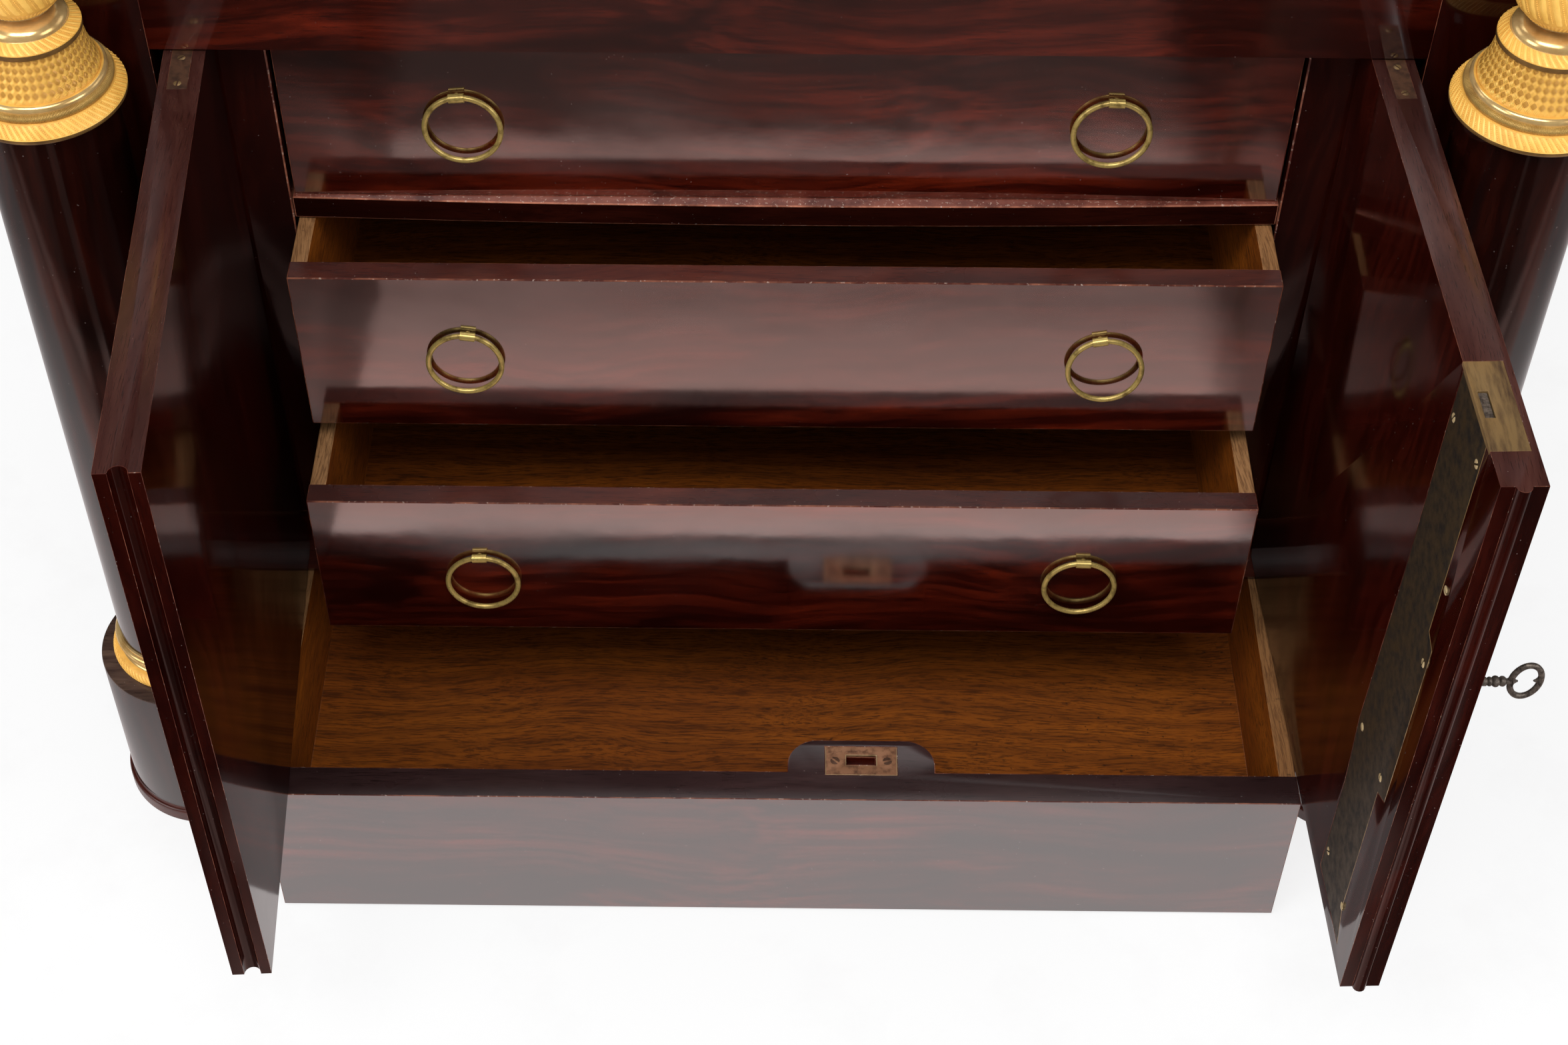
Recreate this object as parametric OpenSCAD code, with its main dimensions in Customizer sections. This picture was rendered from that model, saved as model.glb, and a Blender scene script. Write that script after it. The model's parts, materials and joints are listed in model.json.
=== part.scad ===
// Drop-front secretary with two columns, real size in millimetres.
// Front towards -Y, +Z up, origin on the floor, mid width, in the plane of the closed doors.
// It stands as photographed: doors open, two drawers and the plinth drawer pulled out.

/* [Case] */
// Clear width between the two pilasters
opening_w = 800; // [760:1:860]
// Width of each pilaster
pilaster_w = 102; // [96:1:130]
// Thickness of the pilasters, which is also the depth of the door rebate
pilaster_t = 32; // [31:0.5:40]
// Depth from the front of the pilasters to the back panel's rear face
case_depth = 371.5; // [360:0.5:450]
// Thickness of the side panels
side_t = 22; // [15:1:26]
// Thickness of the back panel
back_t = 12; // [6:1:18]
// Height of the back panel's foot above the floor
back_up = 20; // [10:1:40]
// Thickness of the board under the lowest inner drawer
case_bottom_t = 33.5; // [24:0.5:40]
// Thickness of the lip below the doors
lip_t = 2.5; // [2:0.5:4]
// Height of the rail between doors and writing flap
rail_h = 76; // [60:1:110]
// Air around doors and drawer fronts
seam = 1.5; // [1:0.25:2]

/* [Doors] */
// Height of one door
door_h = 488; // [470:1:520]
// Thickness of the doors
door_t = 26.5; // [24:0.5:27]
// Gap between the rounded hinge edge and the pilaster
hinge_gap = 1; // [0.5:0.25:2]
// Radius of the rounded hinge edge, whose centre is the pivot
nose_r = 19; // [17:0.25:19.5]
// Distance of the pivot behind the door's outer face
pivot_back = 12; // [11:0.25:12]
// Gap between the two meeting edges
meeting_gap = 1.5; // [1:0.25:3]
// Radius of the hollow in the left door's meeting edge
hollow_r = 5.6; // [5.4:0.1:6.5]
// Radius of the bead on the right door's meeting edge
bead_r = 4.4; // [3.5:0.1:4.5]
// Distance of the bead's centre behind the outer face
bead_back = 13.7; // [12:0.1:15]
// Opening angle of the left door as photographed
left_open = 86.5; // [70:0.5:90]
// Opening angle of the right door as photographed
right_open = 92; // [70:0.5:93]

/* [Door hinges] */
// Length of a hinge leaf
leaf_l = 64; // [50:1:80]
// Width of a hinge leaf
leaf_w = 12.5; // [10:0.5:16]
// Thickness of a hinge leaf
leaf_t = 2.5; // [2:0.25:4]
// Radius of a hinge pin
pin_r = 3; // [2.5:0.25:4]
// Running clearance around a hinge pin
pin_clear = 0.05; // [0.02:0.01:0.1]
// Length of a hinge pin
pin_l = 12; // [8:1:16]

/* [Door lock] */
// Distance of the lock's cover plate from the door's meeting edge
lock_in = 32.25; // [30:0.25:40]
// Width of the lock's cover plate at its top and foot
cover_w = 60; // [54:0.5:64]
// Extra width of the cover plate at mid height
cover_step = 12; // [10:0.5:14]
// Heights above the door's foot of the corners in the cover plate's outline
cover_bends = [14, 44, 111, 171, 180, 332]; // [8:1:340]
// Thickness of the cover plate and the faceplate
plate_t = 2.5; // [1.5:0.25:3]
// Length and width of the faceplate in the door's top edge
faceplate = [70, 22.5]; // [15:0.5:80]
// Width and thickness of the bolt's head
bolt = [20, 5]; // [4:0.5:24]
// Height of the bolt's head
bolt_h = 42; // [30:1:60]
// Travel of the bolt
bolt_throw = 9; // [6:0.5:10]
// Wood left between the lock's hollow and the outer face
lock_skin = 8; // [6:0.5:12]
// Depth below the door's top of the lock's hollow
lock_hollow_h = 230; // [222:1:260]
// Distance of the keyhole from the door's meeting edge
key_in = 30.25; // [28:0.25:34]
// Distance of the keyhole below the door's top
key_down = 201; // [195:1:208]
// Radius of the key's shank
shank_r = 3; // [2.5:0.1:4]
// Length of the key's shank outside the door
shank_out = 31; // [24:1:40]
// Length of the shank inside the lock
shank_in = 19; // [15:0.5:20]
// Length of the key's bit from the shank's axis
bit_l = 6; // [4.5:0.25:6]
// Length and width of the key's bow
bow = [22, 33]; // [16:0.5:40]
// Width of the metal round the bow
bow_rim = 4.5; // [3:0.25:6]
// Thickness of the bow
bow_t = 4.2; // [3:0.1:6]

/* [Inner drawers] */
// How far the inner stiles reach inside the door opening
stile_in = 65; // [62:0.5:80]
// Thickness of the inner stiles
stile_t = 28; // [20:1:36]
// Side play of a drawer in its opening
drawer_play = 1.5; // [1:0.25:3]
// Setback of closed drawer fronts behind the inner stiles
drawer_setback = 6; // [5:0.5:7]
// Setback of the dividers' ends behind the inner stiles
divider_setback = 3; // [2:0.5:5]
// Thickness of the dividers between the drawers
divider_t = 17.5; // [14:0.5:20]
// How far the upper divider has bowed forward at mid width
divider_bow = 5.5; // [2:0.5:6]
// Heights of the three inner drawers, lowest first
drawer_hs = [134, 137, 139.5]; // [120:0.5:150]
// Thickness of the inner drawer fronts
front_t = 17; // [14:0.5:22]
// Air between the closed inner drawers and the back panel
drawer_back_air = 42.5; // [40:0.5:100]
// Thickness of the drawer sides
drawer_side_t = 11.5; // [8:0.5:14]
// Thickness of the drawer bottoms
drawer_bottom_t = 8; // [5:0.5:10]
// Height of the drawer bottoms above the drawer's lower edge
drawer_bottom_up = 5; // [2:0.5:10]
// How far the middle drawer is pulled out
pull_2 = 64; // [0:1:100]
// How far the lowest inner drawer is pulled out
pull_3 = 122; // [0:1:150]
// Thickness of the dust boards
dust_t = 12; // [8:1:14]
// Width and height of the drawer guides
guide = [14, 30]; // [8:1:40]

/* [Ring pulls] */
// Distance of the rings from the ends of the drawer opening
ring_in = 119; // [60:0.5:180]
// Radius of a ring at the middle of its wire
ring_r = 25.2; // [18:0.1:32]
// Radius of the ring's wire
wire_r = 1.9; // [1.2:0.1:2]
// Distance of the wire's middle in front of the drawer face
ring_out = 3.2; // [3.2:0.1:6]
// Depths of the ring pivots below the drawers' top edges, lowest drawer first
ring_downs = [54.5, 49, 55.5]; // [35:0.5:65]
// Turn of the left and right ring in the plane of the drawer face, lowest drawer first
ring_turns = [[-2, 2], [8, -12], [-5, 2]]; // [-15:0.5:15]
// Swing of the left and right ring away from the drawer face, lowest drawer first
ring_swings = [[2, 2], [2, 6], [2, 2]]; // [0:0.5:6]
// Length of the eye that holds a ring
eye_l = 10.4; // [7:0.1:11]
// Outer and inner radius of the eye
eye_r = [3.1, 2.5]; // [2.2:0.1:3.2]
// Radius of the shank that carries the eye
eye_shank_r = 2; // [1.5:0.1:2.4]

/* [Plinth drawer] */
// Width of the case's foot on each side of the plinth drawer
plinth_foot_w = 26; // [25:0.5:50]
// Height of the plinth drawer's front
plinth_front_h = 138.5; // [125:0.5:142]
// Air between its front and the floor
plinth_air = 3; // [2:0.5:6]
// Thickness of its front
plinth_front_t = 25; // [20:0.5:30]
// Thickness of its sides
plinth_side_t = 12.5; // [10:0.5:16]
// Air between the closed plinth drawer and the back panel
plinth_back_air = 14.5; // [9:0.5:80]
// Height of its sides' lower edge above the floor
plinth_side_up = 16; // [12:0.5:24]
// How far its runners reach under the drawer
runner_in = 30; // [20:1:60]
// Inside depth of the drawer
plinth_inside = 93; // [70:1:100]
// How far it is pulled out
pull_plinth = 212; // [0:1:260]
// Middle of the lock block, to the right of the drawer's middle
lock_block_x = 59.5; // [0:0.5:120]
// Width, depth and height of the lock block
lock_block = [107, 29, 40]; // [20:1:120]
// Radius of the lock block's corners
lock_block_r = 22; // [10:1:24]
// Length, depth and setback of the plinth lock's plate
lock_plate = [52, 25.5, 22.5]; // [20:0.5:60]
// Length, width and depth of the slot in it
lock_slot = [22, 9.4, 12]; // [6:0.2:24]

/* [Columns] */
// Distance of a column's axis beside the door opening
column_beside = 48.5; // [48:0.5:60]
// Distance of a column's axis in front of the pilasters
column_out = 69; // [68:0.5:80]
// Radius of the drum
drum_r = 63; // [58:0.5:66]
// Height of the drum
drum_h = 143; // [130:1:145]
// Radius of the ring at the drum's foot
foot_r = 66; // [62:0.5:67.5]
// Height of the ring at the drum's foot
foot_h = 13; // [8:0.5:20]
// Radius of the lower shaft at its foot
shaft_r = 44.5; // [40:0.5:46]
// Narrowing of a shaft's radius towards its top
shaft_taper = 1; // [0:0.25:4]
// Radius and height of the gilt base
base_size = [52.5, 28]; // [24:0.5:52.5]
// Radius and height of the gilt mount on the lower shaft
mount_size = [50.6, 134]; // [46:0.2:140]
// Height above the floor where that mount starts
mount_z = 655; // [640:1:670]
// Radius of the upper shaft at its foot
upper_r = 30; // [24:0.5:34]
// Side and thickness of the capital's top plate
abacus = [84, 14]; // [10:1:90]
// Height of the capital with its top plate
capital_h = 52; // [40:1:70]

/* [Writing flap] */
// Height of the flap
flap_h = 522; // [480:1:560]
// Thickness of the flap
flap_t = 24; // [20:0.5:28]
// Air under the closed flap
flap_air = 2; // [1.5:0.25:4]
// Width and height of the leather
leather = [660, 420]; // [300:1:700]
// Thickness of the leather
leather_t = 1.5; // [1:0.25:2.5]
// Outer radius of the quadrant stays
stay_r = 200; // [160:1:230]
// Width and thickness of a stay
stay_bar = [14, 4]; // [3:0.5:20]
// Width of the slot that a stay slides in
stay_slot = 12; // [8:0.5:16]

/* [Interior] */
// Air between the fitted interior and the back panel
interior_back_air = 19.5; // [14:0.5:80]
// Thickness of its boards
board_t = 9; // [6:0.5:14]
// Width of the middle bay
middle_w = 250; // [180:1:320]
// Height of the pigeonholes along the top
pigeon_h = 98; // [80:1:130]
// Count of the pigeonholes
pigeon_n = 5; // [3:1:7]

/* [Frieze and top] */
// Height of the frieze
frieze_h = 110; // [90:1:130]
// Projection of the frieze in front of the pilasters
frieze_out = 124; // [118:1:130]
// Projection of the frieze beyond the case sides
frieze_side_out = 10; // [4:1:16]
// Thickness of the frieze boards
frieze_t = 12; // [10:1:18]
// Thickness of the frieze drawer's front
frieze_front_t = 24; // [18:1:30]
// Length of the frieze drawer behind its front
frieze_drawer_l = 330; // [200:1:400]
// Thickness of the top board
top_t = 24; // [18:1:34]
// Overhang of the top board
top_over = 10; // [4:1:16]
// Thickness of the marble slab
marble_t = 22; // [16:1:30]
// Setback of the marble from the top board's edge
marble_in = 4; // [0:1:10]
// Radius of the marble's rounded edge
marble_r = 8; // [3:0.5:10]

/* [Hidden] */
mahogany = "#4a1c12";
oak = "#8a5c28";
gilt = "#d9a740";
brass = "#a98f4e";
iron = "#3a3330";
hide = "#3f2a1c";
stone = "#4c4f4e";
eps = 0.01;
$fn = 96;

half_open = opening_w / 2;
half_case = half_open + pilaster_w;
inner_half = half_case - side_t;
back_y = case_depth - back_t;
stile_front = pilaster_t;
stile_back = stile_front + stile_t;

plinth_top = plinth_air + plinth_front_h;
plinth_half = half_open - plinth_foot_w;
lip_z = plinth_top + 0.5;
foot_top = lip_z + lip_t;
door_z = foot_top + seam;
door_top = door_z + door_h;
rail_z = door_top + 2;
deck_z = rail_z + rail_h;
case_bottom_top = foot_top + case_bottom_t;

drawer_half = half_open - stile_in;
front_w = 2 * (drawer_half - drawer_play);
ring_x = drawer_half - ring_in;
drawer_face = stile_front + drawer_setback;
divider_front = stile_front + divider_setback;
slide_air = 0.5;
drawer_step = slide_air + seam + divider_t;
z_3 = case_bottom_top + slide_air;
z_2 = z_3 + drawer_hs[0] + drawer_step;
z_1 = z_2 + drawer_hs[1] + drawer_step;
low_divider_z = z_3 + drawer_hs[0] + seam;
high_divider_z = z_2 + drawer_hs[1] + seam;
head_z = z_1 + drawer_hs[2] + seam;

pivot_x = half_open - hinge_gap - nose_r;
door_edge = meeting_gap / 2;
door_far = half_open - hinge_gap;
leaf_end = 4.5;

cover_x0 = door_edge + lock_in;
cover_x1 = cover_x0 + cover_w;
key_x = door_edge + key_in;
key_z = door_top - key_down;
bolt_x = (cover_x0 + cover_x1) / 2;
bolt_y = door_t - plate_t - 1 - bolt[1] / 2;

column_x = half_open + column_beside;
column_y = -column_out;
shaft_z = drum_h + base_size[1];
upper_z = mount_z + mount_size[1];
flap_z = deck_z + flap_air;
flap_half = half_open - 1;
flap_pivot = [flap_t / 2, flap_z + flap_t / 2];
flap_top = flap_z + flap_h;
frieze_z = flap_top + 4;
capital_z = frieze_z - capital_h;
frieze_top = frieze_z + frieze_h;
interior_half = half_open - 4 - stay_slot;
interior_y = stile_front - 2;
drawer_l = back_y - drawer_back_air - drawer_face - front_t;
plinth_l = back_y - plinth_back_air - plinth_front_t;
deck_top = flap_z + flap_t;
stay_x = interior_half + stay_slot / 2;
top_half = half_case + frieze_side_out + top_over;
top_z = frieze_top;
marble_z = top_z + top_t;

function around(mid, half) = [mid - half, mid + half];

// Box between low and high values on each axis
module block(x, y, z) {
    translate([x[0], y[0], z[0]]) cube([x[1] - x[0], y[1] - y[0], z[1] - z[0]]);
}

// Child shapes are drawn on the right; side -1 mirrors them to the left
module on_side(side) {
    if (side < 0) mirror([1, 0, 0]) children();
    else children();
}

module both_sides() {
    children();
    mirror([1, 0, 0]) children();
}

// Case

module side_panel(side) color(mahogany) on_side(side)
    block([inner_half, half_case], [pilaster_t, case_depth], [0, frieze_z]);

module pilaster(side) color(mahogany) on_side(side) difference() {
    union() {
        block([half_open, half_case], [0, pilaster_t], [0, frieze_z]);
        block([plinth_half + seam, half_open + 1], [0, pilaster_t], [0, foot_top]);
    }
    foot_leaf_space();
}

module inner_stile(side) color(mahogany) on_side(side) {
    block([drawer_half, inner_half], [stile_front, stile_back], [case_bottom_top, deck_z]);
    block([stay_x + stay_slot / 2, inner_half], [stile_front, stile_back],
        [deck_z - eps, frieze_z]);
}

module door_rail() color(mahogany) difference() {
    union() {
        block([-half_open, half_open], [0, pilaster_t], [rail_z, deck_z]);
        block([-drawer_half, drawer_half], [pilaster_t - eps, stile_back],
            [head_z, rail_z + rail_h * 0.23]);
    }
    both_sides() leaf_plan(rail_z - eps, leaf_t + 2 * eps);
    translate([bolt_x, bolt_y, rail_z - eps]) translate([-bolt[0] / 2 - 2, -bolt[1] / 2 - 2, 0])
        cube([bolt[0] + 4, bolt[1] + 4, bolt_throw + 2]);
}

// Front edge is a flat curve that stands forward by divider_bow at mid width
module divider_upper() color(mahogany) translate([0, 0, high_divider_z])
    linear_extrude(divider_t) polygon(concat(
        [[drawer_half, stile_back], [-drawer_half, stile_back]],
        [for (x = [-1 : 0.05 : 1.001])
            [x * drawer_half, divider_front - divider_bow * (1 - x * x)]]));

module divider_lower() color(mahogany)
    block([-drawer_half, drawer_half], [divider_front, stile_back],
        [low_divider_z, low_divider_z + divider_t]);

module case_bottom() color(mahogany) {
    block([-inner_half, inner_half], [stile_front, back_y], [foot_top, case_bottom_top]);
    block([-plinth_half, plinth_half], [3, stile_front + 10], [lip_z, foot_top + eps]);
}

module guide_pair(x, z) {
    both_sides() block([x, x + guide[0]], [stile_back, back_y - 10], [z, z + guide[1]]);
}

module drawer_runners() color(oak) {
    for (z = [low_divider_z, high_divider_z]) {
        block([-inner_half, inner_half], [stile_back, back_y],
            [z + divider_t - dust_t, z + divider_t]);
        guide_pair(drawer_half, z + divider_t - eps);
    }
    guide_pair(drawer_half, case_bottom_top);
    both_sides() block([plinth_half - runner_in, inner_half], [pilaster_t, back_y],
        [0, plinth_side_up - slide_air]);
    guide_pair(plinth_half + seam, plinth_side_up - slide_air - eps);
}

module back_panel() color(oak)
    block([-inner_half, inner_half], [back_y, case_depth], [back_up, frieze_z]);

module desk_deck() color(oak)
    block([-interior_half, interior_half], [flap_t + 3, back_y], [deck_z, deck_top]);

module interior_frame() color(mahogany) {
    z1 = frieze_z;
    y = [interior_y, back_y - interior_back_air];
    shelf_z = z1 - board_t - pigeon_h - board_t;
    both_sides() block([interior_half - board_t, interior_half], y, [deck_top, z1]);
    block([-interior_half, interior_half], y, [z1 - board_t, z1]);
    block([-interior_half, interior_half], y, [shelf_z, shelf_z + board_t]);
    block([-interior_half, interior_half], [y[1] - board_t, y[1]], [deck_top, z1]);
    both_sides() block([middle_w / 2, middle_w / 2 + board_t], y, [deck_top, shelf_z + 1]);
    for (i = [1 : 1 : pigeon_n - 1]) {
        x = -interior_half + board_t + i * (2 * interior_half - board_t) / pigeon_n;
        block([x - board_t, x], y, [shelf_z, z1]);
    }
    both_sides() for (i = [1, 2])
        block([middle_w / 2, interior_half], y,
            around(deck_top + i * (shelf_z - deck_top) / 3, board_t / 2));
}

// Frieze and top

module frieze_frame() color(mahogany) {
    x1 = half_case + frieze_side_out;
    block([-x1, x1], [-frieze_out, case_depth], [frieze_z, frieze_z + frieze_t]);
    both_sides() {
        block([half_open - 2, x1], [-frieze_out, -frieze_out + frieze_front_t],
            [frieze_z, frieze_top]);
        block([x1 - frieze_t, x1], [-frieze_out, case_depth], [frieze_z, frieze_top]);
        block([half_open - 2, half_open - 2 + frieze_t], [-frieze_out, case_depth],
            [frieze_z, frieze_top]);
    }
    block([-x1, x1], [back_y, case_depth], [frieze_z, frieze_top]);
}

module frieze_drawer() color(mahogany) {
    w = opening_w - 8;
    y = -frieze_out;
    z0 = frieze_z + frieze_t + slide_air;
    block([-w / 2, w / 2], [y, y + frieze_front_t], [z0, frieze_top - seam]);
    translate([0, y + frieze_front_t - eps, z0])
        drawer_box(w - 4, frieze_drawer_l, frieze_h - frieze_t - 8, drawer_side_t, 3);
}

module top_board() color(mahogany)
    block([-top_half, top_half], [-frieze_out - top_over, case_depth], [top_z, marble_z]);

module marble_top() color(stone) {
    x = top_half - marble_in;
    y = [-frieze_out - top_over + marble_in, case_depth];
    difference() {
        block([-x, x], y, [marble_z, marble_z + marble_t]);
        translate([0, 0, marble_z + marble_t - marble_r]) {
            translate([0, y[0], 0]) rotate([90, 0, 90]) edge_cove(2 * x);
            both_sides() translate([x, (y[0] + y[1]) / 2, 0])
                rotate([90, 0, 180]) edge_cove(y[1] - y[0] + 2);
        }
    }
}

// What a rounding of marble_r takes off a corner that lies at [0, marble_r]
module edge_cove(l) {
    translate([0, 0, -l / 2]) linear_extrude(l) difference() {
        translate([-1, 0]) square([marble_r + 1, marble_r + 1]);
        translate([marble_r, 0]) circle(r = marble_r);
    }
}

// Columns

// Ring with a round section, tube is the section's radius and r the outer radius
module torus(r, z, tube) {
    translate([0, 0, z]) rotate_extrude() translate([r - tube, 0]) circle(r = tube);
}

module on_column(side, z) {
    translate([side * column_x, column_y, z]) children();
}

module drum(side) color(mahogany) {
    on_column(side, 0) {
        cylinder(r = foot_r, h = foot_h - 2);
        translate([0, 0, foot_h - 2]) cylinder(r1 = foot_r, r2 = foot_r - 2, h = 2);
        cylinder(r = drum_r, h = drum_h);
    }
    // Batten that joins the drum to the pilaster
    on_side(side) block([column_x - 20, column_x + 20], [column_y + drum_r - 8, 0],
        [foot_h + 10, drum_h - 20]);
}

module column_base(side) color(gilt) on_column(side, drum_h) {
    r = base_size[0];
    h = base_size[1];
    cylinder(r = r - 5.7, h = 11.4);
    torus(r, 5.7, 5.7);
    translate([0, 0, 11.4]) cylinder(r1 = r - 4.5, r2 = r - 6.5, h = h - 20);
    cylinder(r = r - 6.5, h = h);
    torus(r - 4, h - 5.6, 3);
}

module lower_shaft(side) color(mahogany) on_column(side, shaft_z)
    cylinder(r1 = shaft_r, r2 = shaft_r - shaft_taper, h = mount_z - shaft_z);

// Radii and heights on a mount 50.6 by 134: flange, bell, fillet, hood, neck, vase, ring
function mount_steps() = [[50.6, 0], [50.6, 3], [45.3, 10.5], [42, 10.5], [42, 15], [38.1, 15],
    [33.3, 28], [31.3, 43], [31, 46.4], [32.6, 46.4], [32.6, 50.3], [26, 55.2], [14, 60],
    [14, 65.4], [19.8, 65.4], [19.8, 66.4], [21.5, 68.5], [24.5, 71.5], [27.4, 74.2],
    [30.8, 85], [31, 92], [29.4, 108], [25.2, 124.5], [25.2, 126.5], [33, 127.5], [33, 134]];

module mount(side) color(gilt) on_column(side, mount_z) {
    wide = mount_size[0] / 50.6;
    tall = mount_size[1] / 134;
    rotate_extrude() polygon(concat([[0, 0]], [for (p = mount_steps()) [wide * p[0], tall * p[1]]],
        [[0, mount_size[1]]]));
    torus(44.8 * wide, 12.3 * tall, 2.8 * wide);
    torus(41.7 * wide, 16.2 * tall, 3.4 * wide);
    torus(26 * wide, 55 * tall, 7 * wide);
}

module upper_shaft(side) color(mahogany) on_column(side, upper_z)
    cylinder(r1 = upper_r, r2 = upper_r - shaft_taper, h = capital_z - upper_z);

module capital(side) color(gilt) on_column(side, capital_z) {
    bell_h = capital_h - abacus[1];
    cylinder(r = upper_r - 1, h = bell_h);
    torus(upper_r + 1.5, 3, 3);
    translate([0, 0, 8]) cylinder(r1 = upper_r, r2 = abacus[0] / 2 - 3, h = bell_h - 8);
    translate([-abacus[0] / 2, -abacus[0] / 2, bell_h]) cube([abacus[0], abacus[0], abacus[1]]);
}

// Doors: drawn shut on the right, then turned open about the pivot

module swung(side) {
    angle = side < 0 ? left_open : right_open;
    translate([side * pivot_x, pivot_back, 0]) rotate([0, 0, side * angle])
        translate([-side * pivot_x, -pivot_back, 0]) on_side(side) children();
}

// Plan of a hinge leaf, whose outer end is rounded
module leaf_plan(z, h) {
    end = door_far - leaf_end - leaf_w / 2;
    translate([0, 0, z]) {
        block([door_far - leaf_end - leaf_l, end], around(pivot_back, leaf_w / 2), [0, h]);
        translate([end, pivot_back, 0]) cylinder(r = leaf_w / 2, h = h);
    }
}

module foot_leaf(z, h) {
    block([pivot_x, door_far], around(pivot_back, leaf_w / 2), [z, z + h]);
    translate([pivot_x, pivot_back, z]) intersection() {
        cylinder(r = leaf_w / 2, h = h);
        block([plinth_half + seam - pivot_x, leaf_w], [-leaf_w, leaf_w], [-1, h + 1]);
    }
}

module foot_leaf_space() foot_leaf(foot_top - leaf_t, leaf_t + eps);

module door_blank() {
    translate([0, 0, door_z]) linear_extrude(door_h) {
        translate([door_edge, 0]) square([pivot_x - door_edge, door_t]);
        intersection() {
            translate([pivot_x, pivot_back]) circle(r = nose_r);
            square([half_open, door_t]);
        }
    }
}

module hinge_cuts() {
    leaf_plan(door_top - leaf_t, leaf_t + eps);
    leaf_plan(door_z - eps, leaf_t + eps);
    for (z = [door_z - eps, door_top - pin_l])
        translate([pivot_x, pivot_back, z]) cylinder(r = pin_r + 0.5, h = pin_l + eps);
}

module door_left() color(mahogany) swung(-1) difference() {
    door_blank();
    hinge_cuts();
    translate([door_edge, bead_back, door_z - 1]) cylinder(r = hollow_r, h = door_h + 2);
}

module door_right() color(mahogany) swung(1) difference() {
    union() {
        door_blank();
        translate([door_edge, bead_back, door_z]) cylinder(r = bead_r, h = door_h);
    }
    hinge_cuts();
    cover_shape(door_t - plate_t, plate_t + 1);
    block(faceplate_x(), faceplate_y() + [0, 1], [door_top - plate_t, door_top + 1]);
    block([cover_x0 + 3, cover_x1 - 3], [lock_skin, door_t - plate_t + eps],
        [door_top - lock_hollow_h, door_top - plate_t + eps]);
    block([key_x - bit_l - 2, cover_x0 + 4], [lock_skin, door_t - plate_t + eps],
        around(key_z, bit_l + 4));
    translate([key_x, -1, key_z]) rotate([-90, 0, 0]) cylinder(r = shank_r + 0.3, h = door_t);
}

module hinge_leaves(side) color(brass) swung(side) difference() {
    union() {
        leaf_plan(door_top - leaf_t, leaf_t);
        leaf_plan(door_z, leaf_t);
    }
    translate([pivot_x, pivot_back, 0]) cylinder(r = pin_r + pin_clear, h = door_top + 1);
}

module hinge_leaves_case() color(brass) both_sides() {
    leaf_plan(rail_z, leaf_t);
    foot_leaf(foot_top - leaf_t, leaf_t);
    for (z = [foot_top - leaf_t, rail_z + leaf_t - pin_l])
        translate([pivot_x, pivot_back, z]) cylinder(r = pin_r, h = pin_l);
}

// Door lock and key, all on the right door

function faceplate_x() = [cover_x1 + 4 - faceplate[0], cover_x1 + 4];
function faceplate_y() = [door_t - faceplate[1], door_t];

// Outline of the cover plate, which is wider round the keyhole and flares at its foot
module cover_shape(y, t) {
    b = cover_bends;
    top = door_h - plate_t;
    wide = cover_x0 - cover_step;
    translate([0, y + t, door_z]) rotate([90, 0, 0]) linear_extrude(t) polygon([
        [cover_x1, top], [cover_x0, top], [cover_x0, b[5]], [wide, b[5] - 4], [wide, b[4]],
        [cover_x0 + 2, b[4] - 8], [cover_x0 + 2, b[1]], [wide + 4, b[0]], [cover_x1 - 2, b[0]],
        [cover_x1 - 2, b[2]], [cover_x1 + 4, b[3]], [cover_x1, b[5] - 18]]);
}

module lock_cover() color(brass) swung(1) cover_shape(door_t - plate_t, plate_t);

module lock_faceplate() color(brass) swung(1) difference() {
    block(faceplate_x(), faceplate_y(), [door_top - plate_t, door_top]);
    block(around(bolt_x, bolt[0] / 2 + 0.4), around(bolt_y, bolt[1] / 2 + 0.4),
        [door_top - plate_t - 1, door_top + 1]);
}

module lock_bolt() color(iron) swung(1) {
    top = door_top - 1;
    block(around(bolt_x, bolt[0] / 2), around(bolt_y, bolt[1] / 2), [top - bolt_h, top]);
    block(around(bolt_x, 4), around(bolt_y, bolt[1] / 2), [key_z + 14, top - bolt_h + eps]);
}

module door_key() color(iron) swung(1) translate([key_x, 0, key_z]) rotate([90, 0, 0]) {
    bow_y = shank_out + bow[0] / 2 - 2;
    translate([0, 0, -shank_in]) cylinder(r = shank_r, h = shank_in + shank_out);
    torus(shank_r + 2, 6, 2);
    torus(shank_r + 2, shank_out - 8, 1.6);
    torus(shank_r + 1.4, shank_out - 4, 1.4);
    translate([-1.2, -bit_l, -shank_in]) cube([2.4, bit_l, 7]);
    translate([-bow_t / 2, 0, bow_y]) rotate([90, 0, 90]) linear_extrude(bow_t) difference() {
        bow_outline(0);
        bow_outline(bow_rim);
    }
}

// Round-ended outline across the shank
module bow_outline(inset) {
    r = bow[0] / 2 - inset;
    half = (bow[1] - bow[0]) / 2;
    translate([-half, -r]) square([2 * half, 2 * r]);
    for (x = [-half, half]) translate([x, 0]) circle(r = r);
}

// Drawers

// Four-sided box behind a front: back of the front at y = 0, lower edge at z = 0
module drawer_box(w, l, h, side, bottom_up) {
    both_sides() block([w / 2 - side, w / 2], [0, l], [0, h]);
    block([-w / 2, w / 2], [l - side, l], [0, h - 6]);
    block([-w / 2 + 1, w / 2 - 1], [0, l], [bottom_up, bottom_up + drawer_bottom_t]);
}

function drawer_z(i) = [z_3, z_2, z_1][i - 1];
function drawer_pull(i) = [pull_3, pull_2, 0][i - 1];

// Inner drawers are counted from the lowest in these modules
module at_drawer(i) translate([0, drawer_face - drawer_pull(i), drawer_z(i)]) children();

module drawer_front(i) color(mahogany) at_drawer(i)
    block([-front_w / 2, front_w / 2], [0, front_t], [0, drawer_hs[i - 1]]);

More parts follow.
